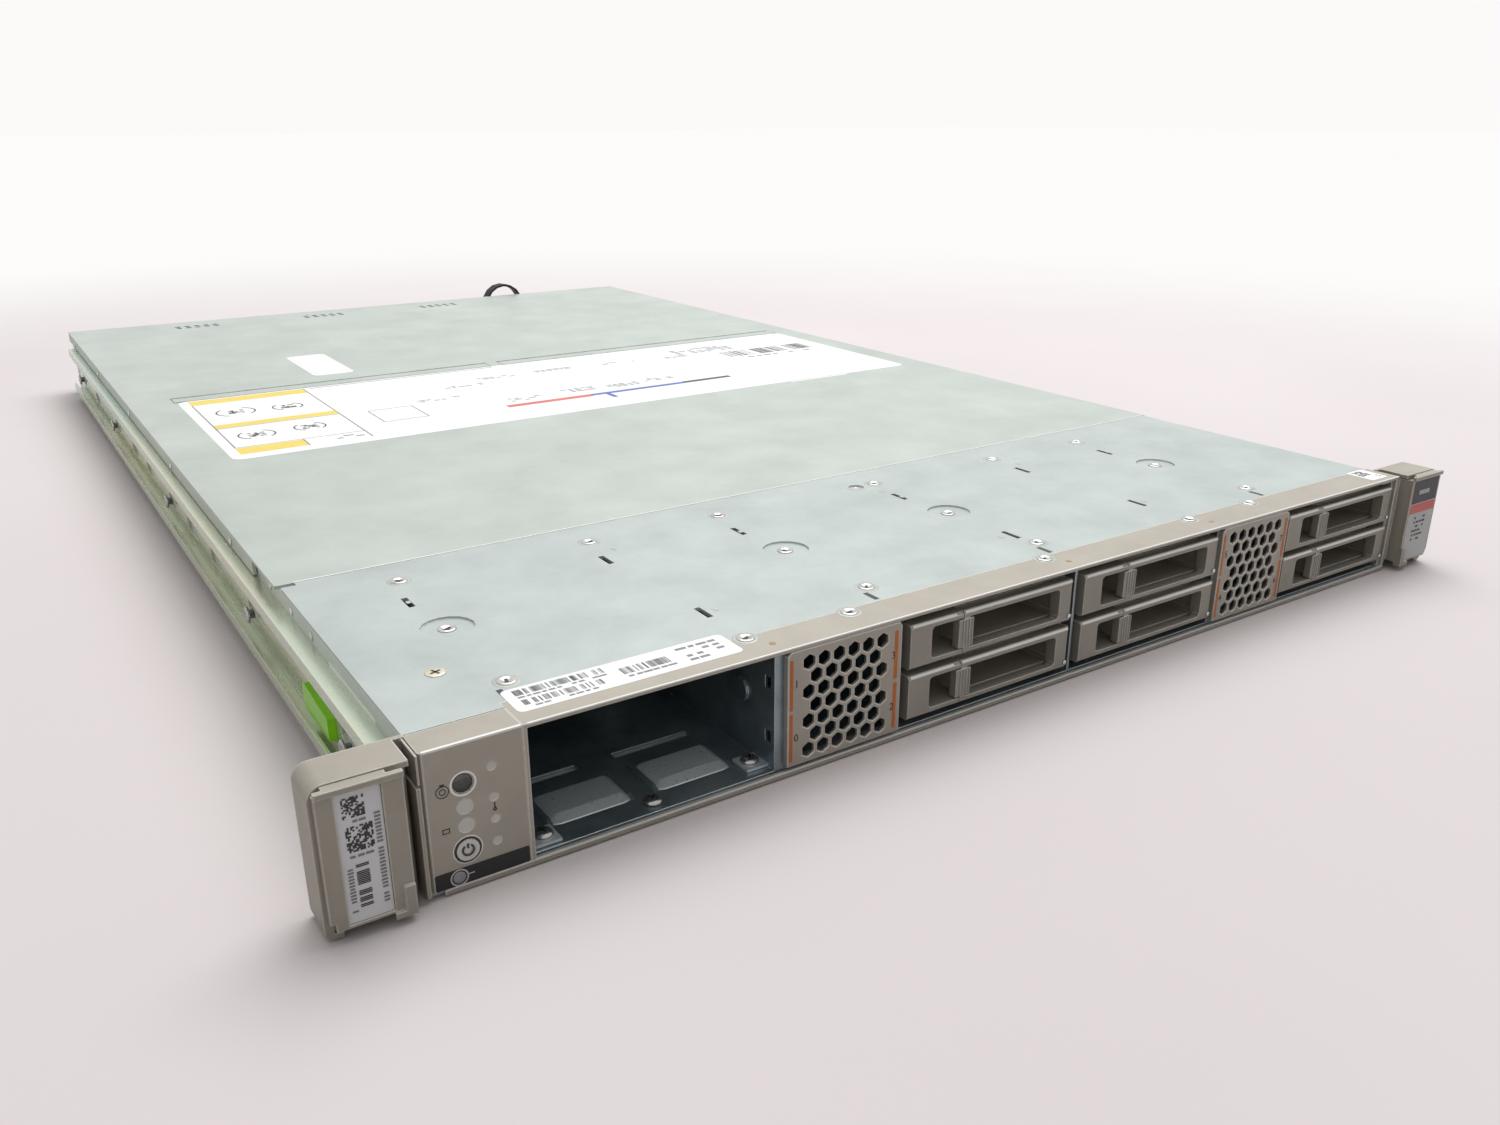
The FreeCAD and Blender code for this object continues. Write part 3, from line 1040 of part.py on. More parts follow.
def make_rear_panel():
    """Rear wall with cut-outs for the sockets and the two card slots."""
    body = new_body("rear_panel", y=f"{REAR} - rear_sheet")
    pad(body, "front", 0, "rear_sheet",
        rectangle(f"-({INSIDE})", "base_sheet", "supply_wall_x", f"{UNDERSIDE} - base_sheet"))
    gap = "socket_clearance"
    holes = [(network_x(number), "network_width", "network_height") for number in range(4)]
    holes += [(bus_x(number), "bus_width", "bus_height") for number in range(2)]
    holes += [("video_x", "video_width", "video_height")]
    for x, width, height in holes:
        pocket(body, "front", -1, "rear_sheet + 2",
               rectangle(f"{x} - {gap}", f"socket_low - {gap}", f"{x} + {width} + {gap}",
                         f"socket_low + {height} + {gap}"))
    for x in ("slot_cover_left", "slot_cover_right"):
        pocket(body, "front", -1, "rear_sheet + 2",
               rectangle(f"{x} + slot_cover_lip", "slot_cover_low + slot_cover_lip",
                         f"{x} + slot_cover_length - slot_cover_lip", "slot_cover_high - slot_cover_lip"))
    return body


def make_slot_covers():
    """Blanking plates behind the two card slots, with a bent foot each."""
    plates = []
    for x in ("slot_cover_left", "slot_cover_right"):
        plate = block(x, "-rear_sheet - cage_sheet", "slot_cover_low", "slot_cover_length", "cage_sheet",
                      "slot_cover_high - slot_cover_low")
        foot = block(x, "-rear_sheet - slot_cover_foot", "slot_cover_high - cage_sheet",
                     "slot_cover_foot", "slot_cover_foot", "cage_sheet")
        plates.append(join([plate, foot]))
    gather("slot_covers", plates, y=REAR)


def make_port_sockets():
    """Network, serial-bus and display sockets on the rear edge of the board."""
    shells = []
    low = "board_height + board_thickness"
    for number in range(4):
        x = network_x(number)
        shell = block(x, "-socket_depth", low, "network_width", "socket_depth",
                      f"socket_low + network_height - ({low})")
        hole = block(f"{x} + (network_width - network_hole) / 2", "-socket_hole_depth",
                     "socket_low + (network_height - network_hole_height) / 2",
                     "network_hole", "socket_hole_depth + 1", "network_hole_height")
        shells.append(carve(shell, [hole]))
    for number in range(2):
        x = bus_x(number)
        shell = block(x, "-socket_depth", low, "bus_width", "socket_depth",
                      f"socket_low + bus_height - ({low})")
        hole = block(f"{x} + bus_wall", "-socket_hole_depth", "socket_low + bus_wall",
                     "bus_width - 2 * bus_wall", "socket_hole_depth + 1", "bus_height - 2 * bus_wall")
        shells.append(carve(shell, [hole]))
    video = block("video_x", "-socket_depth", low, "video_width", "socket_depth - 1",
                  f"socket_low + video_height - ({low})")
    collar = block("video_x + video_collar", "-video_collar_wall", "socket_low + video_collar_wall",
                   "video_width - 2 * video_collar", "2 * video_collar_wall",
                   "video_height - 2 * video_collar_wall")
    shells.append(join([video, collar]))
    gather("port_sockets", shells, y=REAR)


# --------------------------------------------------------------------------- power supplies
def supply_x(number):
    """Left side of power supply one or two."""
    return f"supply_left + {number - 1} * (supply_width + supply_gap)"


def make_power_supply(number):
    """Hot-swap supply: can, rear face with fan grille ring, inlet socket and handle ears."""
    x = supply_x(number)
    body = new_body(f"power_supply_{number}", x=x, y=REAR, z="supply_low")
    pad(body, "top", 0, "supply_height",
        rectangle(0, "supply_face - supply_length", "supply_width", "supply_face"))
    inlet = clipped("supply_inlet_x - inlet_width / 2", "inlet_z - inlet_height / 2",
                    "supply_inlet_x + inlet_width / 2", "inlet_z + inlet_height / 2", "cage_slot")
    pocket(body, "front", "supply_face - inlet_depth", "inlet_depth + 1", inlet[3:7] + [
        ("supply_inlet_x - inlet_width / 2", "inlet_z - inlet_height / 2"),
        ("supply_inlet_x + inlet_width / 2", "inlet_z - inlet_height / 2")])
    for offset in (-1, 0, 1):
        x = f"supply_inlet_x + {offset} * inlet_pin_pitch"
        z = f"inlet_z + {1 - abs(offset)} * inlet_pin_rise"
        pin = rectangle(f"{x} - inlet_pin_width / 2", f"{z} - inlet_pin_height / 2",
                        f"{x} + inlet_pin_width / 2", f"{z} + inlet_pin_height / 2")
        pad(body, "front", "supply_face - inlet_depth - 1", "0.7 * inlet_depth", pin)
    grille = polygon("supply_fan_x", "supply_height / 2", "supply_fan_radius", 20)
    pocket(body, "front", "supply_face - grille_depth", "grille_depth + 1", grille)
    for turn in (-1, 0, 1):
        z = f"supply_height / 2 + {turn} * grille_pitch"
        bar = rectangle("supply_fan_x - supply_fan_radius - 1", f"{z} - grille_bar / 2",
                        "supply_fan_x + supply_fan_radius + 1", f"{z} + grille_bar / 2")
        pad(body, "front", "supply_face - grille_depth - 1", "grille_depth + 1", bar)
    for u in ("handle_x - handle_ear", "handle_x + handle_width"):
        lug = rectangle("supply_face - 1", "handle_z - supply_low - handle_lug",
                        "supply_face + handle_stand + handle_lug", "handle_z - supply_low + handle_lug")
        pad(body, "side", u, "handle_ear", lug)
    hinge = round_outline("supply_face + handle_stand", "handle_z - supply_low",
                          "1.02 * handle_rod + pin_clearance")
    pocket(body, "side", "handle_x - handle_ear - 1", "handle_width + 2 * handle_ear + 2", hinge)
    window = rectangle("release_x - release_travel - slide_clearance",
                       "release_z - supply_low - slide_clearance",
                       "release_x + release_width + slide_clearance",
                       "release_z - supply_low + release_height + slide_clearance")
    pocket(body, "front", "supply_face - release_depth", "release_depth + 1", window)
    return body


def make_supply_handle(number):
    """Bail handle that hangs against the supply's rear face."""
    x = f"{supply_x(number)} + handle_x"
    rear = "supply_face + handle_stand"
    radius = "handle_rod"
    body = new_body(f"supply_handle_{number}", x=x, y=REAR)
    boss(body, "side", "-0.8 * handle_ear", "handle_width + 1.6 * handle_ear", (rear, "handle_z", radius))
    for u in ("handle_side", "handle_width - 2 * handle_rod - handle_side"):
        pad(body, "side", u, "2 * handle_rod",
            rectangle(f"{rear} - handle_rod", "handle_z - handle_drop", f"{rear} + handle_rod", "handle_z"))
    pad(body, "side", "handle_side", "handle_width - 2 * handle_side",
        rectangle(f"{rear} - handle_rod", "handle_z - handle_drop - handle_rod",
                  f"{rear} + handle_rod", "handle_z - handle_drop + handle_rod"))
    return body


def make_supply_release(number):
    """Thumb latch that slides sideways to free the supply."""
    body = new_body(f"supply_release_{number}", x=supply_x(number), y=REAR)
    pad(body, "side", "release_x", "release_width",
        rectangle("supply_face - release_depth + pin_clearance", "release_z",
                  "supply_face + release_stand", "release_z + release_height"))
    return body


def make_cord_strap():
    """Webbing loop on the first supply that holds a power cord."""
    body = new_body("cord_strap", y=REAR)
    centre_z = "strap_low"
    outer = "strap_radius"
    inner = "strap_radius - strap_thickness"
    start = "supply_face"
    pad(body, "front", start, "strap_width", round_outline("strap_x", centre_z, outer))
    pocket(body, "front", f"{start} - 1", "strap_width + 2", round_outline("strap_x", centre_z, inner))
    half = rectangle("strap_x - strap_radius - 1", f"{centre_z} - strap_radius - 1",
                     "strap_x + strap_radius + 1", centre_z)
    pocket(body, "front", f"{start} - 1", "strap_width + 2", half)
    return body


# --------------------------------------------------------------------------- build everything
make_chassis_base()
make_front_top_panel()
make_front_frame()
make_drive_cage()
make_backplane()
make_vent_plate("vent_plate_left", "vent_left_start", "vent_left_width")
make_vent_plate("vent_plate_right", "vent_right_start", "vent_right_width")
make_fillers()
make_control_panel()
make_buttons_and_lamps()
make_ears()
for rail_side, rail_sign in (("left", -1), ("right", 1)):
    make_rail(rail_side + "_rail", rail_sign)
    make_rail_tab(rail_side + "_rail_tab", rail_sign)
make_top_cover()
make_cover_latch("cover_latch_left", *LATCH_SPANS[0])
make_cover_latch("cover_latch_right", *LATCH_SPANS[1])
make_motherboard()
make_heatsinks()
make_memory()
for fan_number in range(1, 5):
    make_fan_frame(fan_number)
    make_fan_rotor(fan_number)
make_air_duct()
make_rear_panel()
make_slot_covers()
make_port_sockets()
for supply_number in (1, 2):
    make_power_supply(supply_number)
    make_supply_handle(supply_number)
    make_supply_release(supply_number)
make_cord_strap()
document.recompute()

failed = [thing.Name for thing in document.Objects if {"Invalid", "Error"} & set(thing.State)]
if failed:
    raise RuntimeError("features that did not build: " + ", ".join(failed))
for subpart in SUBPARTS:
    if subpart.Shape.isNull() or not subpart.Shape.isValid() or not subpart.Shape.Solids:
        raise RuntimeError("no valid solid in " + subpart.Label)

os.makedirs("parts", exist_ok=True)
for subpart in SUBPARTS:
    subpart.Shape.exportStep(os.path.join("parts", subpart.Label + ".step"))
print(len(SUBPARTS), "sub-parts written")
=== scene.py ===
# %% [markdown]
# # A one-unit rack server in cells
# The object is a flat steel box, 17 inches wide and 29 inches deep, that slides into a rack on
# two rails.  Its sheet metal, mouldings and boards come from a CAD model, and these cells add what
# a maker sees on top of that shape: paint, zinc, screws, press studs, print, stickers and wear.
# Every step first says what the real thing is, and then how it is made here.

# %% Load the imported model
import math
import bmesh
import bpy
from mathutils import Matrix, Vector


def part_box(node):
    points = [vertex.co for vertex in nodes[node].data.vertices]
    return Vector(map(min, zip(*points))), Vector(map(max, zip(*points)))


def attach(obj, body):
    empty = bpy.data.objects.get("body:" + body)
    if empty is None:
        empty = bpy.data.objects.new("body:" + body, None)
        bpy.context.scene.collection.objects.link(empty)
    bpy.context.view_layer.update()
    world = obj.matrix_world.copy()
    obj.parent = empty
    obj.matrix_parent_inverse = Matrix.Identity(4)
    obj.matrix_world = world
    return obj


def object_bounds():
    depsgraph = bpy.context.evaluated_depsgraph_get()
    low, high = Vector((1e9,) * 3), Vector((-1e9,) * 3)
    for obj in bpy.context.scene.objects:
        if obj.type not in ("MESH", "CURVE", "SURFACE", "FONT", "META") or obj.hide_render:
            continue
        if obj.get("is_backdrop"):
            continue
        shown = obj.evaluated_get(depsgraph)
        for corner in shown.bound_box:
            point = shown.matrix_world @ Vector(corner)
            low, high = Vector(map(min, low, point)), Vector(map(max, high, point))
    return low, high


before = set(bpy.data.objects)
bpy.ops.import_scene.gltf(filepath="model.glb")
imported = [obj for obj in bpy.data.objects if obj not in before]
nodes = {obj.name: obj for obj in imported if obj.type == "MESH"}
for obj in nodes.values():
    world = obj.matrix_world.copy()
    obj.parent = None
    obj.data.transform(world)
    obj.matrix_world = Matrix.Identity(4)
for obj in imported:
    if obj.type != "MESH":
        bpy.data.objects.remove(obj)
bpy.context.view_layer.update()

# %% [markdown]
# ## One ruler for every piece
# The model is in metres, with its origin under the middle of the machine.  Sheet-metal drawings
# are in millimetres from an edge, so `spot` turns a drawing position (X across, Y back from the
# front face, Z up) into the model's metres.  The front face and the two top surfaces are read from
# the CAD nodes, so that nothing is typed twice.

# %% A drawing position in metres
MM = 0.001
front_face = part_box("front_frame")[0].y
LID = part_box("top_cover")[1].z / MM
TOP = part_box("front_top_panel")[1].z / MM


def spot(x, y, z):
    """Metres in the model from millimetres, with Y counted back from the front face."""
    return Vector((x * MM, front_face + y * MM, z * MM))


print("front face at y =", round(front_face, 4), "m, panel at", round(TOP, 2), "mm, lid at", round(LID, 2))

# %% [markdown]
# ## Node graphs
# Materials and repeats are both node graphs, so two small helpers write them: one adds a node with
# its settings and constants, the other joins outputs to inputs.

# %% Node graph helpers
def new_material(name):
    """An empty node material and its tree, ready for a shader."""
    made = bpy.data.materials.new(name)
    made.use_nodes = True
    made.node_tree.nodes.clear()
    return made, made.node_tree


def add(tree, kind, sockets=None, **fields):
    """Add a node; fields name its properties, and sockets gives constants to its inputs."""
    node = tree.nodes.new(kind)
    for key, value in fields.items():
        setattr(node, key, value)
    for key, value in (sockets or {}).items():
        node.inputs[key].default_value = value
    return node


def wire(tree, *links):
    """Join outputs to inputs; each link is (node, output, node, input)."""
    for start, output, end, socket in links:
        tree.links.new(start.outputs[output], end.inputs[socket])


print("node helpers ready")

# %% [markdown]
# ## Floor, backdrop and lamps
# A plain pale table and soft lamps show shape without drama.  The backdrop's whiteness is seen by
# the camera, in metal and through glass.  It adds no bounced light, so colours stay as written.

# %% The floor
BACKDROP_WHITE = (1.0, 0.99, 0.985, 1)
PAPER_TONES = (0.69, 0.635, 0.64, 1), (0.77, 0.715, 0.72, 1)
PAPER_IN_BOUNCES = (0.34, 0.31, 0.30, 1)
FADE_STARTS, FADE_ENDS = 0.5, 1.25
HALF_TABLE = 12.0
BELOW_OBJECT = 0.0006


def sees_backdrop(tree):
    """1 for the rays that show the backdrop: from the camera, off metal and through glass."""
    rays = add(tree, "ShaderNodeLightPath")
    direct_or_mirrored = add(tree, "ShaderNodeMath", operation="ADD", use_clamp=True)
    any_of_them = add(tree, "ShaderNodeMath", operation="ADD", use_clamp=True)
    wire(tree, (rays, "Is Camera Ray", direct_or_mirrored, 0), (rays, "Is Glossy Ray", direct_or_mirrored, 1),
         (direct_or_mirrored, 0, any_of_them, 0), (rays, "Is Transmission Ray", any_of_them, 1))
    return any_of_them


def make_floor_material():
    """Warm paper round the object, which fades into a white backdrop further away."""
    made, tree = new_material("floor_paper")
    out = add(tree, "ShaderNodeOutputMaterial")
    paper = add(tree, "ShaderNodeBsdfPrincipled", {"Roughness": 0.85})
    where = add(tree, "ShaderNodeTexCoord")
    fibres = add(tree, "ShaderNodeTexNoise", {"Scale": 3.0})
    tint = add(tree, "ShaderNodeValToRGB")
    for stop, tone in zip(tint.color_ramp.elements, PAPER_TONES):
        stop.color = tone
    # bounced light meets a darker table, so the faces near it stay in shade
    rays = add(tree, "ShaderNodeLightPath")
    tone = add(tree, "ShaderNodeMix", {7: PAPER_IN_BOUNCES}, data_type="RGBA")
    away = add(tree, "ShaderNodeVectorMath", operation="LENGTH")
    fade = add(tree, "ShaderNodeMapRange", {"From Min": FADE_STARTS, "From Max": FADE_ENDS},
               interpolation_type="SMOOTHSTEP")
    share = add(tree, "ShaderNodeMath", operation="MULTIPLY")
    backdrop = add(tree, "ShaderNodeEmission", {"Color": BACKDROP_WHITE, "Strength": 0.98})
    mixed = add(tree, "ShaderNodeMixShader")
    wire(tree, (where, "Object", fibres, "Vector"), (fibres, "Fac", tint, "Fac"),
         (rays, "Is Diffuse Ray", tone, 0), (tint, "Color", tone, 6), (tone, 2, paper, "Base Color"),
         (where, "Object", away, 0), (away, "Value", fade, "Value"), (sees_backdrop(tree), 0, share, 0),
         (fade, "Result", share, 1), (share, 0, mixed, 0), (paper, "BSDF", mixed, 1),
         (backdrop, "Emission", mixed, 2), (mixed, "Shader", out, "Surface"))
    return made


sheet = bpy.data.meshes.new("table_top")
corners = [(x * HALF_TABLE, y * HALF_TABLE, 0) for x, y in ((-1, -1), (1, -1), (1, 1), (-1, 1))]
sheet.from_pydata(corners, [], [(0, 1, 2, 3)])
sheet.materials.append(make_floor_material())
table_top = bpy.data.objects.new("table_top", sheet)
bpy.context.collection.objects.link(table_top)
table_top.location.z = -BELOW_OBJECT
table_top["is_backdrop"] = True
print("table of", 2 * HALF_TABLE, "m")

# %% The world: white where it is seen, soft grey light for the object
SKY_LOW, SKY_HIGH = 0.05, 0.56
world = bpy.data.worlds.new("studio")
bpy.context.scene.world = world
world.use_nodes = True
tree = world.node_tree
tree.nodes.clear()
out = add(tree, "ShaderNodeOutputWorld")
light = add(tree, "ShaderNodeBackground", {"Color": BACKDROP_WHITE})
sky = add(tree, "ShaderNodeTexCoord")
height = add(tree, "ShaderNodeSeparateXYZ")
rise = add(tree, "ShaderNodeMapRange",
           {"From Min": -0.1, "From Max": 0.9, "To Min": SKY_LOW, "To Max": SKY_HIGH})
seen = add(tree, "ShaderNodeBackground", {"Color": (1.0, 0.985, 0.975, 1), "Strength": 0.97})
blend = add(tree, "ShaderNodeMixShader")
wire(tree, (sees_backdrop(tree), 0, blend, 0), (sky, "Generated", height, "Vector"),
     (height, "Z", rise, "Value"), (rise, "Result", light, "Strength"), (light, "Background", blend, 1),
     (seen, "Background", blend, 2), (blend, "Shader", out, "Surface"))
print("world strength", SKY_LOW, "to", SKY_HIGH)


# %% Lamps
def make_lamp(name, place, target, power, width):
    """A square soft lamp that points at a target."""
    data = bpy.data.lights.new(name, "AREA")
    data.shape = "SQUARE"
    data.size = width
    data.energy = power
    lamp = bpy.data.objects.new(name, data)
    bpy.context.collection.objects.link(lamp)
    lamp.location = place
    lamp.rotation_euler = (Vector(target) - Vector(place)).to_track_quat("-Z", "Y").to_euler()
    print(name, power, "W")


make_lamp("ceiling_lamp", (0.75, 0.45, 2.3), (0, 0, 0), power=56, width=2.2)
make_lamp("front_lamp", (-1.5, -1.3, 0.9), (0, -0.2, 0), power=0.6, width=1.2)

# %% [markdown]
# ## Camera
# The machine is seen from its front left corner, close and a little above, with a wide lens, so the
# near ear looks large and the far end tapers away.

# %% The camera
camera_data = bpy.data.cameras.new("camera")
camera_data.sensor_width = 36.0
camera_data.lens = 29.088
camera_data.clip_start = 0.01
camera = bpy.data.objects.new("camera", camera_data)
bpy.context.collection.objects.link(camera)
camera.location = spot(-293.96, -264.14, 190.59)
yaw, pitch, roll = math.radians(33.583), math.radians(-20.398), math.radians(-0.078)
aim = Vector((math.cos(pitch) * math.sin(yaw), math.cos(pitch) * math.cos(yaw), math.sin(pitch)))
turn = aim.to_track_quat("-Z", "Y").to_matrix()
camera.rotation_euler = (turn @ Matrix.Rotation(roll, 3, "Z")).to_euler()
bpy.context.scene.camera = camera
bpy.context.scene.view_settings.view_transform = "Standard"
print("camera at", [round(v, 3) for v in camera.location])

# %% [markdown]
# ## Finishes
# Every finish is a small node graph on Object coordinates, so it stays put on the piece from every
# side.  One builder makes the common part: two tones mixed by a soft cloud, and a second finer grain
# that moves the roughness and lifts the surface a little.  Each finish below then says its own
# tones, in the 0 to 255 of a colour chart, and its grain and gloss.

# %% The finish builder
FINISH = {}


def srgb(red, green, blue):
    """Linear colour of a paint chip given in 0 to 255."""
    def linear(value):
        value /= 255
        return value / 12.92 if value <= 0.04045 else ((value + 0.055) / 1.055) ** 2.4
    return (linear(red), linear(green), linear(blue), 1)


def wear_edges(tree, skin, tones, lift, colour, width):
    """Round the corners in the shading, and paint a lighter tone along them: a painted highlight on the
    edges.
    """
    soft = add(tree, "ShaderNodeBevel", {"Radius": width}, samples=4)
    flat = add(tree, "ShaderNodeNewGeometry")
    angle = add(tree, "ShaderNodeVectorMath", operation="DOT_PRODUCT")
    # where the rounded normal turns away from the true one, a lighter tone is mixed in: a painted highlight
    # along edges
    edge_highlight_share = add(tree, "ShaderNodeMapRange", {"From Min": 0.99, "From Max": 0.9})
    paint = add(tree, "ShaderNodeMix", {7: colour}, data_type="RGBA")
    wire(tree, (soft, "Normal", angle, 0), (flat, "Normal", angle, 1), (angle, "Value", edge_highlight_share, "Value"),
         (edge_highlight_share, "Result", paint, 0), (tones, "Color", paint, 6), (paint, 2, skin, "Base Color"),
         (soft, "Normal", lift, "Normal"))


def make_finish(name, dark, pale, cloud, grain, stretch=(1, 1, 1), rough=(0.4, 0.55), metal=0.0,
                relief=0.1, depth=0.1, coat=0.0, edge=None, edge_width=0.35):
    """Two tones in clouds, a fine grain in roughness and relief, and a painted highlight along the edges;
    depths in mm.
    """
    made, tree = new_material(name)
    out = add(tree, "ShaderNodeOutputMaterial")
    skin = add(tree, "ShaderNodeBsdfPrincipled",
               {"Metallic": metal, "Coat Weight": coat, "Coat Roughness": 0.15})
    where = add(tree, "ShaderNodeTexCoord")
    along = add(tree, "ShaderNodeMapping", {"Scale": stretch})
    clouds = add(tree, "ShaderNodeTexNoise", {"Scale": cloud, "Detail": 9, "Roughness": 0.62})
    tones = add(tree, "ShaderNodeValToRGB")
    for stop, place, colour in zip(tones.color_ramp.elements, (0.3, 0.7), (dark, pale)):
        stop.position, stop.color = place, srgb(*colour)
    fine = add(tree, "ShaderNodeTexNoise", {"Scale": grain, "Detail": 3})
    gloss = add(tree, "ShaderNodeMapRange", {"To Min": rough[0], "To Max": rough[1]})
    lift = add(tree, "ShaderNodeBump", {"Strength": relief, "Distance": depth * MM})
    wire(tree, (where, "Object", along, "Vector"), (along, "Vector", clouds, "Vector"),
         (along, "Vector", fine, "Vector"), (clouds, "Fac", tones, "Fac"),
         (tones, "Color", skin, "Base Color"), (fine, "Fac", gloss, "Value"),
         (gloss, "Result", skin, "Roughness"), (fine, "Fac", lift, "Height"),
         (lift, "Normal", skin, "Normal"), (skin, "BSDF", out, "Surface"))
    if edge:
        wear_edges(tree, skin, tones, lift, srgb(*edge), edge_width * MM)
    FINISH[name] = made
    return made


print("finish builder ready")

# %% [markdown]
# Zinc-coated steel is pale, faintly green and cloudy; the rear lid has been handled more and is a
# shade darker.  The bezel parts are painted a warm metallic grey.  The rails' zinc shows thin
# coloured films, which green and straw tones, drawn out along the rail, can hint at.

# %% Metal and paint
make_finish("zinc_panel", (170, 180, 177), (188, 197, 194), 40, 900, rough=(0.38, 0.52), metal=0.3,
            relief=0.06, edge=(240, 242, 238))
make_finish("zinc_lid", (175, 184, 178), (192, 201, 195), 26, 900, rough=(0.36, 0.5), metal=0.32,
            relief=0.06, edge=(232, 234, 228))
make_finish("zinc_cage", (120, 134, 142), (160, 172, 178), 45, 700, rough=(0.25, 0.4), metal=0.7,
            relief=0.05, edge=(214, 220, 220))
make_finish("zinc_base", (176, 184, 182), (202, 208, 204), 12, 800, rough=(0.35, 0.5), metal=0.5,
            relief=0.06, edge=(226, 229, 226))
make_finish("rail_zinc", (176, 208, 202), (232, 222, 186), 14, 600, (1, 0.12, 1), rough=(0.2, 0.32),
            metal=0.6, relief=0.05, edge=(236, 226, 200))
make_finish("bezel_paint", (166, 160, 148), (178, 172, 160), 60, 2600, rough=(0.34, 0.46), metal=0.3,
            relief=0.12, depth=0.04, edge=(250, 249, 244), edge_width=0.8)
make_finish("bezel_moulding", (160, 154, 142), (172, 166, 154), 60, 3200, rough=(0.42, 0.55), metal=0.2,
            relief=0.14, depth=0.04, edge=(244, 242, 236), edge_width=0.6)
make_finish("filler_moulding", (150, 146, 136), (164, 159, 149), 60, 3200, rough=(0.4, 0.52), metal=0.2,
            relief=0.12, depth=0.04, edge=(238, 236, 230), edge_width=0.5)
make_finish("steel_pin", (150, 150, 148), (190, 190, 188), 80, 900, rough=(0.2, 0.35), metal=0.9,
            relief=0.05)
make_finish("bright_socket", (178, 178, 176), (210, 210, 206), 90, 900, rough=(0.15, 0.3), metal=0.95,
            relief=0.04)
make_finish("fin_aluminium", (188, 190, 192), (214, 216, 218), 40, 900, (1, 0.2, 1), rough=(0.25, 0.4),
            metal=0.9, relief=0.05)
print("metal and paint ready")

# %% Plastics, boards, webbing and print
make_finish("black_moulding", (22, 22, 24), (34, 34, 36), 50, 2600, rough=(0.4, 0.6), relief=0.12,
            depth=0.05)
make_finish("duct_moulding", (40, 42, 46), (54, 56, 60), 40, 2200, rough=(0.35, 0.5), relief=0.1,
            depth=0.05)
make_finish("release_green", (140, 232, 4), (160, 246, 16), 60, 1800, rough=(0.3, 0.42), relief=0.08,
            depth=0.05, coat=0.2)
make_finish("lamp_lens", (206, 206, 200), (226, 226, 220), 90, 1500, rough=(0.25, 0.35), relief=0.04,
            coat=0.3)
make_finish("button_face", (214, 213, 208), (228, 227, 222), 90, 2000, rough=(0.3, 0.4), metal=0.2,
            relief=0.06)
make_finish("card_white", (240, 242, 246), (248, 249, 251), 40, 2600, rough=(0.45, 0.6), relief=0.05,
            depth=0.03)
make_finish("label_white", (246, 248, 248), (252, 253, 253), 12, 2600, rough=(0.3, 0.42), relief=0.05,
            depth=0.03, coat=0.2)
make_finish("label_grey", (196, 199, 200), (210, 212, 213), 30, 2600, rough=(0.35, 0.5), relief=0.04,
            depth=0.03)
# The black print finish serves for real print, and also as painted shade in screw recesses, stud slits and
# short slots.
for name, dark, pale, cloud, rough in (
        ("print_black", (30, 31, 33), (48, 49, 51), 60, (0.4, 0.55)),
        ("print_grey", (120, 124, 126), (140, 143, 145), 60, (0.4, 0.55)),
        ("print_yellow", (232, 205, 70), (240, 216, 92), 40, (0.35, 0.5)),
        ("print_orange", (196, 104, 42), (210, 120, 56), 60, (0.4, 0.5)),
        ("print_red", (214, 92, 84), (224, 108, 98), 60, (0.35, 0.5)),
        ("print_blue", (60, 92, 180), (74, 108, 192), 60, (0.35, 0.5))):
    make_finish(name, dark, pale, cloud, 2600, rough=rough, relief=0.03, depth=0.02)
make_finish("panel_band", (12, 13, 16), (20, 21, 24), 40, 2400, rough=(0.45, 0.6), relief=0.03, depth=0.02)
# a near-white finish for the painted highlights on folds and rims
make_finish("bright_edge", (246, 245, 240), (252, 251, 248), 60, 2400, rough=(0.2, 0.3), metal=0.1,
            relief=0.03, depth=0.02)
make_finish("strap_webbing", (14, 14, 16), (30, 30, 33), 300, 900, rough=(0.6, 0.8), relief=0.6, depth=0.3)
print("plastic and print ready")

# %% [markdown]
# A printed circuit board shows copper tracks as slightly paler lines under green lacquer: a brick
# pattern of thin joints gives that grid cheaply.

# %% Circuit board
def make_board_finish():
    """Green lacquer with paler tracks."""
    made = make_finish("board_lacquer", (12, 62, 34), (18, 78, 44), 50, 1500, rough=(0.2, 0.35),
                       relief=0.05, coat=0.3)
    tree = made.node_tree
    skin, tones, where = (next(node for node in tree.nodes if node.type == kind)
                          for kind in ("BSDF_PRINCIPLED", "VALTORGB", "TEX_COORD"))
    tracks = add(tree, "ShaderNodeTexBrick", {"Scale": 60, "Mortar Size": 0.03, "Mortar": srgb(38, 112, 66)})
    wire(tree, (where, "Object", tracks, "Vector"), (tones, "Color", tracks, "Color1"),
         (tones, "Color", tracks, "Color2"), (tracks, "Color", skin, "Base Color"))


make_board_finish()
print(len(bpy.data.materials), "materials")

# %% [markdown]
# ## Dress the CAD pieces
# The CAD shapes stay exactly as they are; only their material slots are filled.  A table from
# finish to pieces keeps the choice readable, and the print shows that nothing was forgotten.

# %% Finish of every CAD piece
def numbered(stem, first, last):
    """Names of numbered pieces."""
    return [f"{stem}_{number}" for number in range(first, last + 1)]


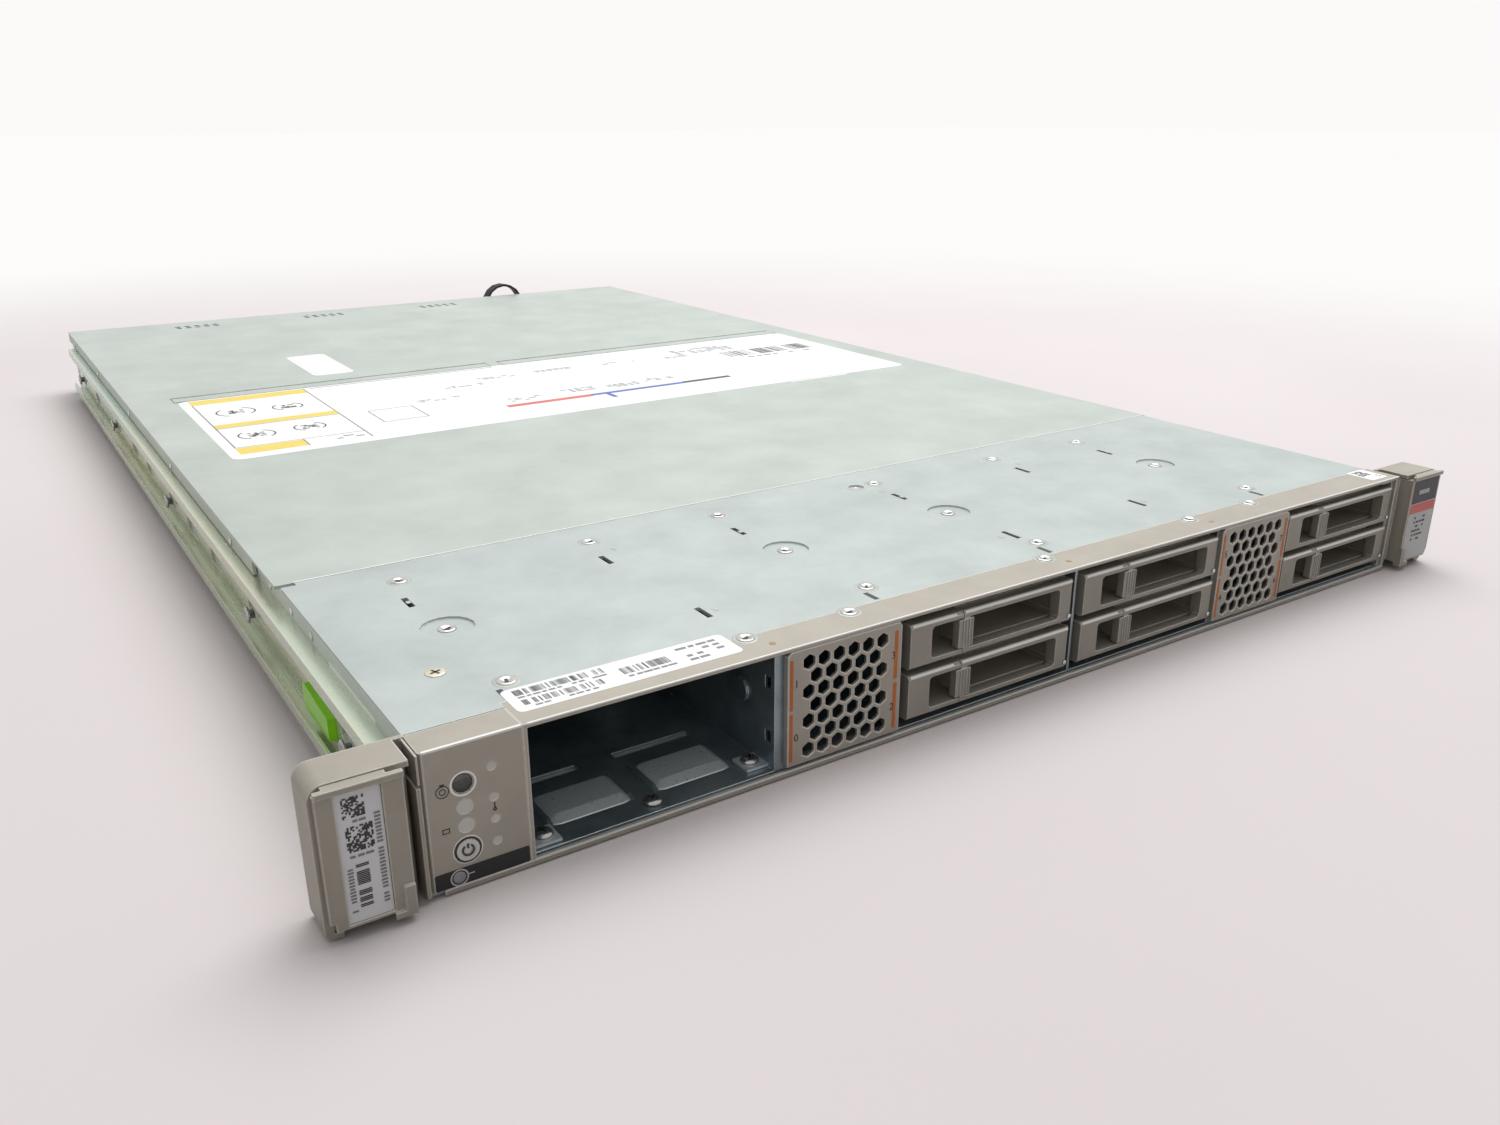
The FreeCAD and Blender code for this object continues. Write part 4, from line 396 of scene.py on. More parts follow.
wardrobe = [
    ("zinc_panel", ["front_top_panel"]),
    ("zinc_lid", ["top_cover", "cover_skirts", "cover_latch_left", "cover_latch_right"]),
    ("zinc_cage", ["drive_cage"]),
    ("zinc_base", ["chassis_base", "rear_panel", "slot_covers"] + numbered("power_supply", 1, 2)),
    ("rail_zinc", ["left_rail", "right_rail"]),
    ("bezel_paint", ["front_frame", "vent_plate_left", "vent_plate_right", "control_panel"]),
    ("bezel_moulding", ["left_ear", "right_ear", "left_latch", "right_latch"]),
    ("filler_moulding", numbered("filler", 2, 7) + numbered("filler_lever", 2, 7)),
    ("steel_pin", ["latch_pins"] + numbered("supply_handle", 1, 2)),
    ("card_white", ["tag_card"]),
    ("button_face", ["power_button", "locate_button"]),
    ("lamp_lens", ["indicator_lights"]),
    ("release_green", ["left_rail_tab", "right_rail_tab"] + numbered("supply_release", 1, 2)),
    ("board_lacquer", ["motherboard", "drive_backplane", "memory_modules"]),
    ("fin_aluminium", ["heatsinks"]),
    ("black_moulding", ["backplane_connectors"] + numbered("fan_frame", 1, 4) + numbered("fan_rotor", 1, 4)),
    ("duct_moulding", ["air_duct"]),
    ("bright_socket", ["port_sockets"]),
    ("strap_webbing", ["cord_strap"]),
]
dressed = set()
for finish, names in wardrobe:
    for name in names:
        for slot in nodes[name].material_slots:
            slot.material = FINISH[finish]
        dressed.add(name)
print("dressed", len(dressed), "of", len(nodes), "left bare:", sorted(set(nodes) - dressed))

# %% [markdown]
# ## Making small things
# Screws, press studs, chips and printed marks are too many and too small for the CAD model.  Each
# one is drawn once, as a low turned form or a thin plate.  A Geometry Nodes tree then sets copies of
# it on a list of points, because a person who maintains the machine sees rows of the same fastener.

# %% A turned form, and boxes in drawing millimetres
forms = []


def place_object(name, data):
    """An object in the scene for a mesh or a curve."""
    made = bpy.data.objects.new(name, data)
    bpy.context.collection.objects.link(made)
    return made


def keep_form(name, mesh):
    """An object to copy from; every form is taken away again when all copies are made."""
    forms.append(place_object(name, mesh))
    return forms[-1]


def turned(name, profile, sides=20):
    """Spin a profile of (radius, height) in mm about Z; its last point lies on the axis."""
    rings, faces, points = [], [], []
    for radius, height in profile:
        ring = []
        for step in range(sides if radius > 0 else 1):
            angle = 2 * math.pi * step / sides
            ring.append(len(points))
            points.append((radius * MM * math.cos(angle), radius * MM * math.sin(angle), height * MM))
        rings.append(ring)
    for low, high in zip(rings, rings[1:]):
        for step in range(sides):
            after = (step + 1) % sides
            if len(high) == 1:
                faces.append((low[step], low[after], high[0]))
            else:
                faces.append((low[step], low[after], high[after], high[step]))
    faces.append(tuple(reversed(rings[0])))
    mesh = bpy.data.meshes.new(name)
    mesh.from_pydata(points, [], faces)
    for face in mesh.polygons:
        face.use_smooth = len(face.vertices) <= 4
    return keep_form(name, mesh)


def add_box(mesh, low, high, place=None):
    """Add a box to a bmesh from two corners in mm, moved by a matrix when one is given."""
    corners = [Vector((x * MM, y * MM, z * MM)) for x in (low[0], high[0]) for y in (low[1], high[1])
               for z in (low[2], high[2])]
    verts = [mesh.verts.new(place @ corner if place else corner) for corner in corners]
    for face in ((0, 1, 3, 2), (4, 6, 7, 5), (0, 4, 5, 1), (2, 3, 7, 6), (0, 2, 6, 4), (1, 5, 7, 3)):
        mesh.faces.new([verts[corner] for corner in face])


def box_form(name, boxes):
    """A form made of boxes in mm about the origin."""
    solid = bmesh.new()
    for low, high in boxes:
        add_box(solid, low, high)
    mesh = bpy.data.meshes.new(name)
    solid.to_mesh(mesh)
    solid.free()
    return keep_form(name, mesh)


def rounded_outline(x0, y0, x1, y1, radius, inset=0.0, steps=5):
    """Points of a rounded rectangle, anticlockwise; an inset draws its corner arcs in."""
    points = []
    for x, y, start in ((x1 - radius, y1 - radius, 0), (x0 + radius, y1 - radius, 90),
                        (x0 + radius, y0 + radius, 180), (x1 - radius, y0 + radius, 270)):
        for step in range(steps + 1):
            angle = math.radians(start + 90 * step / steps)
            points.append((x + (radius - inset) * math.cos(angle), y + (radius - inset) * math.sin(angle)))
    return points


def close_stack(solid, rows):
    """Walls between rows of vertices, closed below and above."""
    for low, high in zip(rows, rows[1:]):
        for here in range(len(low)):
            after = (here + 1) % len(low)
            solid.faces.new((low[here], low[after], high[after], high[here]))
    solid.faces.new(rows[-1])
    solid.faces.new(list(reversed(rows[0])))


print("turned forms, boxes and outlines ready")


# %% The tree that sets copies of a form on points
def new_tree(name, sockets):
    """A geometry tree with the sockets given, its input node and its output node."""
    tree = bpy.data.node_groups.new(name, "GeometryNodeTree")
    for label, kind in (("Geometry", "Geometry"), *sockets):
        tree.interface.new_socket(label, in_out="INPUT", socket_type="NodeSocket" + kind)
    tree.interface.new_socket("Geometry", in_out="OUTPUT", socket_type="NodeSocketGeometry")
    return tree, add(tree, "NodeGroupInput"), add(tree, "NodeGroupOutput")


def close_tree(tree, copies, start, end):
    """Make a tree's copies real, give them the finish and send them out."""
    real = add(tree, "GeometryNodeRealizeInstances")
    coat = add(tree, "GeometryNodeSetMaterial")
    wire(tree, (copies, "Instances", real, "Geometry"), (real, "Geometry", coat, "Geometry"),
         (start, "Finish", coat, "Material"), (coat, "Geometry", end, "Geometry"))
    return tree


def make_repeat_tree():
    """Copies of one form on every point, faced one way, turned at random about their own axis."""
    tree, start, end = new_tree("set_on_points", (
        ("Form", "Object"), ("Facing", "Vector"), ("Turn", "Float"), ("Seed", "Int"), ("Finish", "Material")))
    form = add(tree, "GeometryNodeObjectInfo")
    copies = add(tree, "GeometryNodeInstanceOnPoints")
    twist = add(tree, "FunctionNodeRandomValue", data_type="FLOAT")
    axis = add(tree, "ShaderNodeCombineXYZ")
    turn = add(tree, "GeometryNodeRotateInstances")
    wire(tree, (start, "Form", form, "Object"), (start, "Geometry", copies, "Points"),
         (form, "Geometry", copies, "Instance"), (start, "Facing", copies, "Rotation"),
         (start, "Turn", twist, 3), (start, "Seed", twist, "Seed"), (twist, 1, axis, "Z"),
         (copies, "Instances", turn, "Instances"), (axis, "Vector", turn, "Rotation"))
    return close_tree(tree, turn, start, end)


set_on_points = make_repeat_tree()
QUARTER = math.pi / 2
UP, FORWARD, BACKWARD = (0, 0, 0), (QUARTER, 0, 0), (-QUARTER, 0, 0)
LEFTWARD, RIGHTWARD = (0, -QUARTER, 0), (0, QUARTER, 0)


def run_tree(holder, tree, **inputs):
    """Set a tree's named inputs by their identifiers, evaluate it, and keep a plain mesh."""
    modifier = holder.modifiers.new(tree.name, "NODES")
    modifier.node_group = tree
    for item in tree.interface.items_tree:
        key = item.name.lower()
        if item.in_out == "INPUT" and key in inputs:
            modifier[item.identifier] = inputs[key]
    holder.update_tag()
    evaluated = holder.evaluated_get(bpy.context.evaluated_depsgraph_get())
    mesh = bpy.data.meshes.new_from_object(evaluated)
    bpy.data.objects.remove(holder)
    return mesh


def settle(name, mesh, body):
    """Make a finished mesh a piece that rides on a body."""
    piece = place_object(name, mesh)
    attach(piece, body)
    print(name, len(mesh.polygons), "faces on", body)


def repeat(name, form, places, facing, finish, body="chassis", turn=0.0, seed=1):
    """Copies of a form at drawing positions, as one piece; turn is the widest random angle in radians."""
    dots = bpy.data.meshes.new(name + "_points")
    dots.from_pydata([tuple(spot(*place)) for place in places], [], [])
    holder = place_object(name + "_points", dots)
    mesh = run_tree(holder, set_on_points, form=form, facing=facing, turn=turn, seed=seed,
                    finish=FINISH[finish])
    mesh.name = name
    settle(name, mesh, body)


print("set_on_points ready")

# %% [markdown]
# ## Press studs, clinch marks and screws
# The front panel is joined to the drive cage underneath by press studs: a bright turned collar with
# a dark slit across it, whose black is painted shade, and a faint, slightly darker ring round it.  All three
# are set on the same points.

# %% Press studs of the top panel
stud_collar = turned("stud_collar", [
    (3.0, 0), (2.85, 0.3), (2.45, 0.46), (1.9, 0.42), (1.5, 0.2), (1.35, 0.1), (0, 0.1)], 24)
stud_slit = box_form("stud_slit", [((-1.3, -0.5, 0.05), (1.3, 0.5, 0.16))])
stud_halo = turned("stud_halo", [(4.1, 0), (3.95, 0.04), (0, 0.04)], 24)
row_back = [(x, 118.3, TOP) for x in (-182, -111, -55, 23, 92, 147)]
row_dimple = [(x, 72, TOP - 0.7) for x in (-182.5, -55.5, 23, 147)]
row_front = [(x, 26.4, TOP) for x in (-182.2, -54.7, 25.1, 148.3)]
row_edge = [(x, y, TOP) for x, y in ((-111, 13.9), (-72.6, 12.6), (14.7, 12.8), (93.7, 12.8), (131.3, 12.8))]
studs = row_back + row_dimple + row_front + row_edge
make_finish("stud_ring_tone", (166, 170, 164), (188, 192, 186), 200, 1800, rough=(0.4, 0.55), metal=0.4,
            relief=0.05)
repeat("press_studs", stud_collar, studs, UP, "bright_socket", turn=3.1, seed=4)
# the slits are black: painted shade in the slit of each stud
repeat("press_stud_slits", stud_slit, [(x, y, z + 0.04) for x, y, z in studs], UP, "print_black",
       turn=3.1, seed=4)
repeat("press_stud_rings", stud_halo, row_back + row_front + row_edge, UP, "stud_ring_tone")

# %% Folded tongues in the long slots, short slots and clinch marks
long_slots = [(-185.7, 98), (-106.9, 106.9), (-58.5, 97.1), (18.4, 107.2), (20.6, 97), (96.4, 106.4),
              (144.9, 97.3), (-106.7, 38), (18.7, 38), (98.1, 38)]
tongue = box_form("tongue", [((-0.75, -1.1, 0), (0.75, 1.1, 0.05))])
short_slot = box_form("short_slot", [((-0.9, -3.2, 0), (0.9, 3.2, 0.05))])
repeat("slot_tongues", tongue, [(x, y, TOP + 0.02) for x, y in long_slots], UP, "zinc_panel")
# the short slots are dark plates: painted shade for the open slots
repeat("short_slots", short_slot, [(x, 19.3, TOP) for x in (-186.2, -58.4, 21.5, 145.2)], UP, "print_black")
clinch = turned("clinch", [(1.1, 0), (1.0, 0.05), (0.4, 0.04), (0, 0.04)], 14)
make_finish("tan_mark", (150, 120, 92), (172, 142, 112), 300, 1800, rough=(0.4, 0.6))
marks = [(x, 6.3, TOP) for x in (-106.4, 19.9, 98.8)] + [(129.9, 13, TOP)]
repeat("clinch_marks", clinch, marks, UP, "tan_mark")
rim = turned("rim", [(4.0, 0), (3.9, 0.06), (3.5, 0.06), (3.4, 0.02), (0, 0.02)], 28)
repeat("pressed_circle", rim, [(13.3, 118, TOP)], UP, "zinc_panel")

# %% [markdown]
# ## Cross-head screws
# A cross recess is what makes a screw read as a screw.  The head is turned, and the recess is two
# thin dark bars set just above its crown, painted shade for the hollow of the recess.

# %% Screws
pan_head = turned("pan_head", [
    (2.9, 0), (2.9, 0.5), (2.6, 1.1), (1.9, 1.45), (0.9, 1.55), (0, 1.56)], 20)
# dark bars of painted shade for the cross recess
pan_cross = box_form("pan_cross", [((-1.5, -0.32, 1.5), (1.5, 0.32, 1.62)),
                                   ((-0.32, -1.5, 1.5), (0.32, 1.5, 1.62))])
flat_head = turned("flat_head", [(3.1, 0), (3.0, 0.22), (2.6, 0.3), (0, 0.3)], 22)
flat_cross = box_form("flat_cross", [((-1.7, -0.36, 0.26), (1.7, 0.36, 0.36)),
                                     ((-0.36, -1.7, 0.26), (0.36, 1.7, 0.36))])
make_finish("cream_plate", (206, 198, 176), (222, 214, 194), 200, 1800, rough=(0.25, 0.4), metal=0.6,
            relief=0.05)


def screws(name, places, facing, head, cross, finish, seed=2):
    """A set of screws: heads and their recesses, turned alike."""
    repeat(name, head, places, facing, finish, turn=1.5, seed=seed)
    # the recesses are black: painted shade
    repeat(name + "_recess", cross, places, facing, "print_black", turn=1.5, seed=seed)


screws("panel_screw", [(-196.8, 42.5, TOP)], UP, flat_head, flat_cross, "cream_plate")
screws("bay_screws", [(-182.4, 7.6, 3.3), (-148.0, 7.0, 2.4), (-112.4, 9.8, 3.3)], UP, pan_head, pan_cross,
       "steel_pin")

# %% [markdown]
# ## The floor of the open bay
# Two raised pads stiffen the sheet under the missing drives.  Each is a rounded rectangle pressed up
# with a sloped rim, so it is a stack of four outlines, each drawn in a little more than the last.
# Bright square tabs carry the outer screws.

# %% Raised pads, screw tabs and the stud in the bay wall
PAD_CORNER = 3.6
pads = bmesh.new()
for x0, x1 in ((-178.8, -151.6), (-144.8, -117.6)):
    rows = []
    for inset, z in ((0, 2.42), (0.6, 2.6), (3.0, 4.2), (3.5, 4.3)):
        outline = rounded_outline(x0, 10.6, x1, 28.6, PAD_CORNER, inset, steps=3)
        rows.append([pads.verts.new(spot(x, y, z)) for x, y in outline])
    close_stack(pads, rows)
pad_mesh = bpy.data.meshes.new("bay_pads")
pads.to_mesh(pad_mesh)
pads.free()
for face in pad_mesh.polygons:
    face.use_smooth = len(face.vertices) == 4
pad_mesh.materials.append(make_finish(
    "bright_zinc", (206, 214, 218), (226, 232, 234), 20, 900, rough=(0.24, 0.34), metal=0.35, relief=0.02))
settle("bay_pads", pad_mesh, "chassis")
tab = box_form("screw_tab", [((-4.2, -4.4, 0), (4.2, 4.0, 0.9))])
repeat("bay_screw_tabs", tab, [(-182.8, 7.6, 2.41), (-112.0, 9.6, 2.41)], UP, "bright_zinc")
repeat("bay_wall_stud", stud_collar, [(-107.1, 60, 31)], LEFTWARD, "bright_socket")

# %% [markdown]
# ## Printed marks
# Barcodes, two-dimensional codes and small print are too fine to read at this size, and a sticker of
# this kind carries no message here: a tree lays a grid of thin plates, drops a random share of them
# and gives the rest random widths.  The same tree makes bars, blocks of dots and rows of greeked
# words, with only its numbers changed.

# %% The tree that prints a block of marks
INK_THICKNESS = 0.05


def make_print_tree():
    """A grid of thin plates; a random share is left out and widths vary."""
    tree, start, end = new_tree("print_block", (
        ("Width", "Float"), ("Height", "Float"), ("Columns", "Int"), ("Rows", "Int"), ("Kept", "Float"),
        ("Narrow", "Float"), ("Wide", "Float"), ("Tall", "Float"), ("Seed", "Int"), ("Finish", "Material")))
    grid = add(tree, "GeometryNodeMeshGrid")
    gone = add(tree, "FunctionNodeRandomValue", data_type="BOOLEAN")
    left_out = add(tree, "ShaderNodeMath", {0: 1.0}, operation="SUBTRACT")
    drop = add(tree, "GeometryNodeDeleteGeometry", domain="POINT")
    plate = add(tree, "GeometryNodeMeshCube", {"Size": (1, 1, 1)})
    spread = add(tree, "FunctionNodeRandomValue", data_type="FLOAT")
    scale = add(tree, "ShaderNodeCombineXYZ", {"Z": INK_THICKNESS * MM})
    copies = add(tree, "GeometryNodeInstanceOnPoints")
    wire(tree, (start, "Width", grid, "Size X"), (start, "Height", grid, "Size Y"),
         (start, "Columns", grid, "Vertices X"), (start, "Rows", grid, "Vertices Y"),
         (start, "Kept", left_out, 1), (left_out, 0, gone, "Probability"), (start, "Seed", gone, "Seed"),
         (gone, 3, drop, "Selection"), (grid, "Mesh", drop, "Geometry"), (drop, "Geometry", copies, "Points"),
         (plate, "Mesh", copies, "Instance"), (start, "Narrow", spread, 2), (start, "Wide", spread, 3),
         (start, "Seed", spread, "Seed"), (spread, 1, scale, "X"), (start, "Tall", scale, "Y"),
         (scale, "Vector", copies, "Scale"))
    return close_tree(tree, copies, start, end)


print_block = make_print_tree()
print("print_block ready")

# %% [markdown]
# All print of one colour on one body becomes one piece.  A `Sheet` is a flat place on the machine: it
# knows where its lower left corner is and which way is across and up, and it collects plates, blocks
# and numerals there.

# %% Sheets of print
INK = {}
PAPER = 0.06
INK_LEVEL = 0.09
FONT_SHARE = 1.38
DIGIT_THICKNESS = 0.03


class Sheet:
    """A flat place to stick and print on, in mm from its lower left corner."""

    def __init__(self, corner, across, up, body="chassis"):
        across, up = Vector(across), Vector(up)
        out = across.cross(up)
        turn = Matrix((across, up, out)).transposed().to_4x4()
        self.place, self.body = Matrix.Translation(spot(*corner)) @ turn, body

    def ink(self, colour):
        """The bmesh that gathers one colour on this sheet's body."""
        return INK.setdefault((self.body, colour), bmesh.new())

    def vertex(self, solid, x, y, z):
        """A new vertex at a place on the sheet."""
        return solid.verts.new(self.place @ Vector((x * MM, y * MM, z * MM)))

    def plate(self, colour, x0, y0, x1, y1, low=0.0, high=PAPER, corner=0.0):
        """A thin plate, with rounded corners where a radius is given."""
        solid = self.ink(colour)
        if corner == 0:
            add_box(solid, (x0, y0, low), (x1, y1, high), self.place)
            return
        outline = rounded_outline(x0, y0, x1, y1, corner)
        close_stack(solid, [[self.vertex(solid, x, y, z) for x, y in outline] for z in (low, high)])

    def stripe(self, colour, x0, y0, x1, y1, high=0.1):
        """A printed plate on top of the paper."""
        self.plate(colour, x0, y0, x1, y1, PAPER, high)

    def marks(self, colour, x0, y0, x1, y1, columns, rows, kept, narrow, wide, tall, seed):
        """A block of random marks; widths and height are shares of one cell."""
        cell_x, cell_y = (x1 - x0) / columns, (y1 - y0) / rows
        dot = bpy.data.meshes.new("block")
        dot.from_pydata([(0, 0, 0)], [], [])
        mesh = run_tree(place_object("block", dot), print_block,
                        width=(x1 - x0 - cell_x) * MM, height=(y1 - y0 - cell_y) * MM, columns=columns,
                        rows=rows, kept=kept, narrow=narrow * cell_x * MM, wide=wide * cell_x * MM,
                        tall=tall * cell_y * MM, seed=seed, finish=FINISH[colour])
        middle = Vector(((x0 + x1) / 2, (y0 + y1) / 2, INK_LEVEL)) * MM
        mesh.transform(self.place @ Matrix.Translation(middle))
        self.ink(colour).from_mesh(mesh)

    def words(self, x0, y0, x1, y1, rows, seed, kept=0.72, colour="print_grey"):
        """Rows of greeked small print; a word is about 1.3 times as wide as its row is high."""
        columns = max(2, round((x1 - x0) / ((y1 - y0) / rows) / 1.3))
        self.marks(colour, x0, y0, x1, y1, columns, rows, kept, 0.5, 1.05, 0.45, seed)

    def bars(self, x0, y0, x1, y1, seed):
        """A row of black bars of random widths, one for each 0.62 mm."""
        columns = max(6, round((x1 - x0) / 0.62))
        self.marks("print_black", x0, y0, x1, y1, columns, 1, 0.75, 0.2, 0.85, 1.0, seed)

    def code(self, x0, y0, x1, y1, cells, seed, kept=0.55):
        """A square block of black cells, like a two-dimensional code."""
        self.marks("print_black", x0, y0, x1, y1, cells, cells, kept, 1, 1, 1, seed)

    def numeral(self, text, x, y, height):
        """Plain black digits, made from Blender's own letter shapes."""
        curve = bpy.data.curves.new("digit", "FONT")
        curve.body, curve.align_x = text, "CENTER"
        curve.size, curve.extrude = height * FONT_SHARE * MM, DIGIT_THICKNESS * MM
        curve.resolution_u = 2
        holder = place_object("digit", curve)
        mesh = bpy.data.meshes.new_from_object(holder.evaluated_get(bpy.context.evaluated_depsgraph_get()))
        bpy.data.objects.remove(holder)
        mesh.transform(self.place @ Matrix.Translation(Vector((x, y, 0.05)) * MM))
        self.ink("print_black").from_mesh(mesh)

    def ring(self, colour, x, y, outer, inner, low=0.0, high=0.1, start=0, end=360, sides=24):
        """A flat ring or arc with square edges."""
        solid = self.ink(colour)
        whole = end - start >= 360
        count = max(4, round(sides * (end - start) / 360))
        rows = []
        for step in range(count if whole else count + 1):
            angle = math.radians(start + (end - start) * step / count)
            rows.append([self.vertex(solid, x + radius * math.cos(angle), y + radius * math.sin(angle), z)
                         for radius, z in ((inner, low), (outer, low), (outer, high), (inner, high))])
        for here in range(count):
            one, two = rows[here], rows[(here + 1) % len(rows)]
            for side in range(4):
                after = (side + 1) % 4
                solid.faces.new((one[side], two[side], two[after], one[after]))
        if not whole:
            solid.faces.new(list(reversed(rows[0])))
            solid.faces.new(rows[-1])


ACROSS, BACK, HIGH = (1, 0, 0), (0, 1, 0), (0, 0, 1)
print("sheets ready")

# %% [markdown]
# ## The long service label on the lid
# A label across the middle of the lid shows how the machine is laid out.  Here it carries yellow
# headings, a plain outline, table lines, a coloured bar and greeked text, and it says nothing.

# %% Service label
service = Sheet((-195, 308, LID), ACROSS, BACK, "top_cover")
service.plate("label_white", 0, 0, 397, 140, corner=5)
service.plate("label_white", 309, -2.4, 350, 0.5)
for x1, y0, y1 in ((66, 127, 138), (66, 66, 74), (36, 9, 21)):
    service.stripe("print_yellow", 5, y0, x1, y1)
for x, y0, y1 in ((5, 22, 127), (66, 9, 138), (36, 9, 22)):
    service.stripe("print_grey", x, y0, x + 0.7, y1, high=0.11)
for y in (64.8, 22):
    service.stripe("print_grey", 5, y, 66.5, y + 0.5, high=0.11)
for x, y, size in ((20, 44, 9), (46, 46, 8), (22, 100, 10), (48, 98, 8)):
    for start, end in ((-50, 60), (130, 240)):
        service.ring("print_black", x, y, size, size - 0.8, PAPER, 0.11, start, end)
    service.marks("print_black", x - 4, y - 4, x + 4, y + 4, 5, 5, 0.55, 0.7, 1.2, 0.8, seed=int(x + y))
service.words(40, 12, 64, 19, 2, seed=30, kept=0.6)
for x0, y0, x1, y1 in ((80, 34, 104, 34.6), (80, 62, 104, 62.6), (80, 34, 80.6, 62), (103.4, 34, 104, 62)):
    service.stripe("print_grey", x0, y0, x1, y1)
for number, (x, y) in enumerate(((110, 66), (134, 92), (158, 104), (196, 106), (240, 104), (280, 100))):
    service.words(x, y, x + 24, y + 6, 2, seed=33 + number, kept=0.6)
for number, (x, y) in enumerate(((152, 40), (186, 44), (214, 42), (238, 46))):
    service.words(x, y, x + 20, y + 9, 3, seed=43 + number, kept=0.65)
service.stripe("print_red", 146, 29, 196, 34)
service.stripe("print_blue", 196, 30, 256, 34)
service.stripe("print_blue", 204, 20, 207, 30)
service.stripe("print_black", 256, 30.5, 288, 34.5)
for number, (x0, x1) in enumerate(((322, 340), (345, 366), (371, 386))):
    service.bars(x0, 82, x1, 99, seed=70 + number)
service.words(330, 74, 386, 79, 1, seed=74)
service.words(296, 106, 340, 122, 4, seed=75, kept=0.5)
service.stripe("print_grey", 70, 136.2, 180, 137.2)
pill = Sheet((-113, 479, LID), ACROSS, BACK, "top_cover")
pill.plate("label_white", 0, 0, 24, 70, corner=4)
pill.plate("label_grey", 2, 4, 22, 66, 0.06, 0.09, corner=3)
pill.plate("label_white", 2.4, 4.4, 21.6, 65.6, 0.09, 0.12, corner=3)
pill.words(6, 24, 18, 44, 4, seed=12, kept=0.35)
print("service label on the lid")

# %% Labels on the front strip and on the left wall
strip = Sheet((-187, 6.4, TOP), ACROSS, BACK)
strip.plate("label_white", 0, 0, 71, 14.6, corner=2)
strip.bars(3, 9.6, 30, 13, seed=3)
strip.words(3, 7.4, 30, 9.2, 1, seed=4)
strip.bars(3, 3.4, 27, 6.6, seed=5)
strip.words(3, 1.2, 27, 3, 1, seed=6)
strip.bars(34, 5.4, 50, 9.6, seed=7)
strip.words(34, 2.6, 50, 4.8, 1, seed=8)
strip.words(54, 2, 68, 13, 4, seed=9)
corner_tag = Sheet((203, 3, TOP), ACROSS, BACK)
corner_tag.plate("label_white", 0, 0, 11.5, 12.5, corner=1.2)
corner_tag.code(1.5, 5.5, 7.5, 11.2, 12, seed=10)
corner_tag.words(1.5, 1.5, 10, 4.6, 2, seed=11)
wall = Sheet((-216.8, 80, 22.5), (0, -1, 0), HIGH)
wall.plate("label_white", 0, 0, 45, 14.5, corner=1)
wall.words(2, 2, 43, 12.8, 6, seed=13)
wall.code(30, 6, 36, 12, 12, seed=14, kept=0.5)
print("strip, corner and wall labels")

# %% [markdown]
# ## Bay numbers and marks on the vent plates
# Beside each pair of drive bays an orange bar marks a drive that can be changed while the machine
# runs, and a plain number says which bay it is.

# %% Vent plate print
front = Sheet((0, 0, 0), ACROSS, HIGH)
for x0, x1 in ((-104.4, -103.2), (-64.1, -62.7), (99.2, 100.4), (137.8, 139.2)):
    for z0, z1 in ((21.9, 38.6), (4.6, 20.7)):
        front.plate("print_orange", x0, z0, x1, z1, corner=0.4)
for bay, x in ((0, -101.9), (2, -64.4), (4, 101.7), (6, 136.6)):
    for number, z in ((bay + 1, 29.2), (bay, 11.2)):
        front.numeral(str(number), x, z, 2.6)
print("bay numbers 0 to 7")

# %% [markdown]
# ## Control panel
# Two press buttons and seven lamps stand beside small symbols: a ring for the button that finds the
# machine in a row, a thermometer, a power sign.  Symbols that warn and all words are left off.

# %% Buttons, lamp rings and symbols
power_x, power_z = -206.4, 11.6
locate_x, locate_z = -206.1, 31
lamp_x, lamp_z = -209.3, 4.1
front.ring("print_black", power_x, power_z, 3.75, 3.15, high=0.12, sides=32)
front.ring("bright_socket", power_x, power_z, 4.15, 3.75, high=0.08, sides=32)
front.ring("bright_socket", locate_x, locate_z, 3.6, 3.05, sides=32)
press = Sheet((power_x, -0.45, power_z), ACROSS, HIGH, "power_button")
press.ring("print_black", 0, 0, 1.7, 1.25, high=0.06, start=125, end=415, sides=28)
press.plate("print_black", -0.24, 0.5, 0.24, 2.0)
front.ring("label_grey", lamp_x, lamp_z, 2.5, 2.1, 0.05, 0.14, sides=28)
for size in (1.8, 0.9):
    front.ring("print_black", -211.6, 30.2, size, size - 0.22, sides=20)
for step in range(5):
    narrower, lower = 0.14 * step, 32.2 - 0.18 * step
    front.plate("print_black", -212.3 + narrower, lower, -210.9 - narrower, lower + 0.2)
for x0, z0, x1, z1 in ((-212.6, 18, -210.6, 18.25), (-212.6, 19.2, -210.6, 19.45),
                       (-212.6, 18, -212.35, 19.45), (-210.85, 18, -210.6, 19.45)):
    front.plate("print_black", x0, z0, x1, z1)
front.plate("print_black", -198.4, 21.1, -198.0, 22.9)
front.ring("print_black", -198.2, 20.9, 0.55, 0.2)
front.plate("panel_band", -215.8, 1.8, -189.6, 6.7, high=0.05, corner=0.5)
front.plate("label_grey", -206.9, 4.2, -205.2, 4.5, 0.05, 0.1)
print("control panel print")

# %% Locate button dome
dome = turned("locate_dome", [
    (2.75, 0), (2.6, 0.2), (2.2, 0.42), (1.6, 0.6), (0.9, 0.72), (0, 0.76)], 28)
make_finish("dark_steel", (62, 62, 62), (92, 92, 90), 400, 1500, rough=(0.1, 0.2), metal=1.0, relief=0.03)
repeat("locate_button_dome", dome, [(locate_x, 0.34, locate_z)], FORWARD, "dark_steel",
       "locate_button")
lens_cap = turned("lens_cap", [(1.75, 0), (1.65, 0.06), (1.0, 0.1), (0, 0.12)], 24)
make_finish("lens_grey", (150, 146, 150), (168, 164, 168), 300, 1500, rough=(0.3, 0.4), relief=0.03,
            coat=0.3)
repeat("service_lamp_lens", lens_cap, [(lamp_x, -0.05, lamp_z)], FORWARD, "lens_grey")

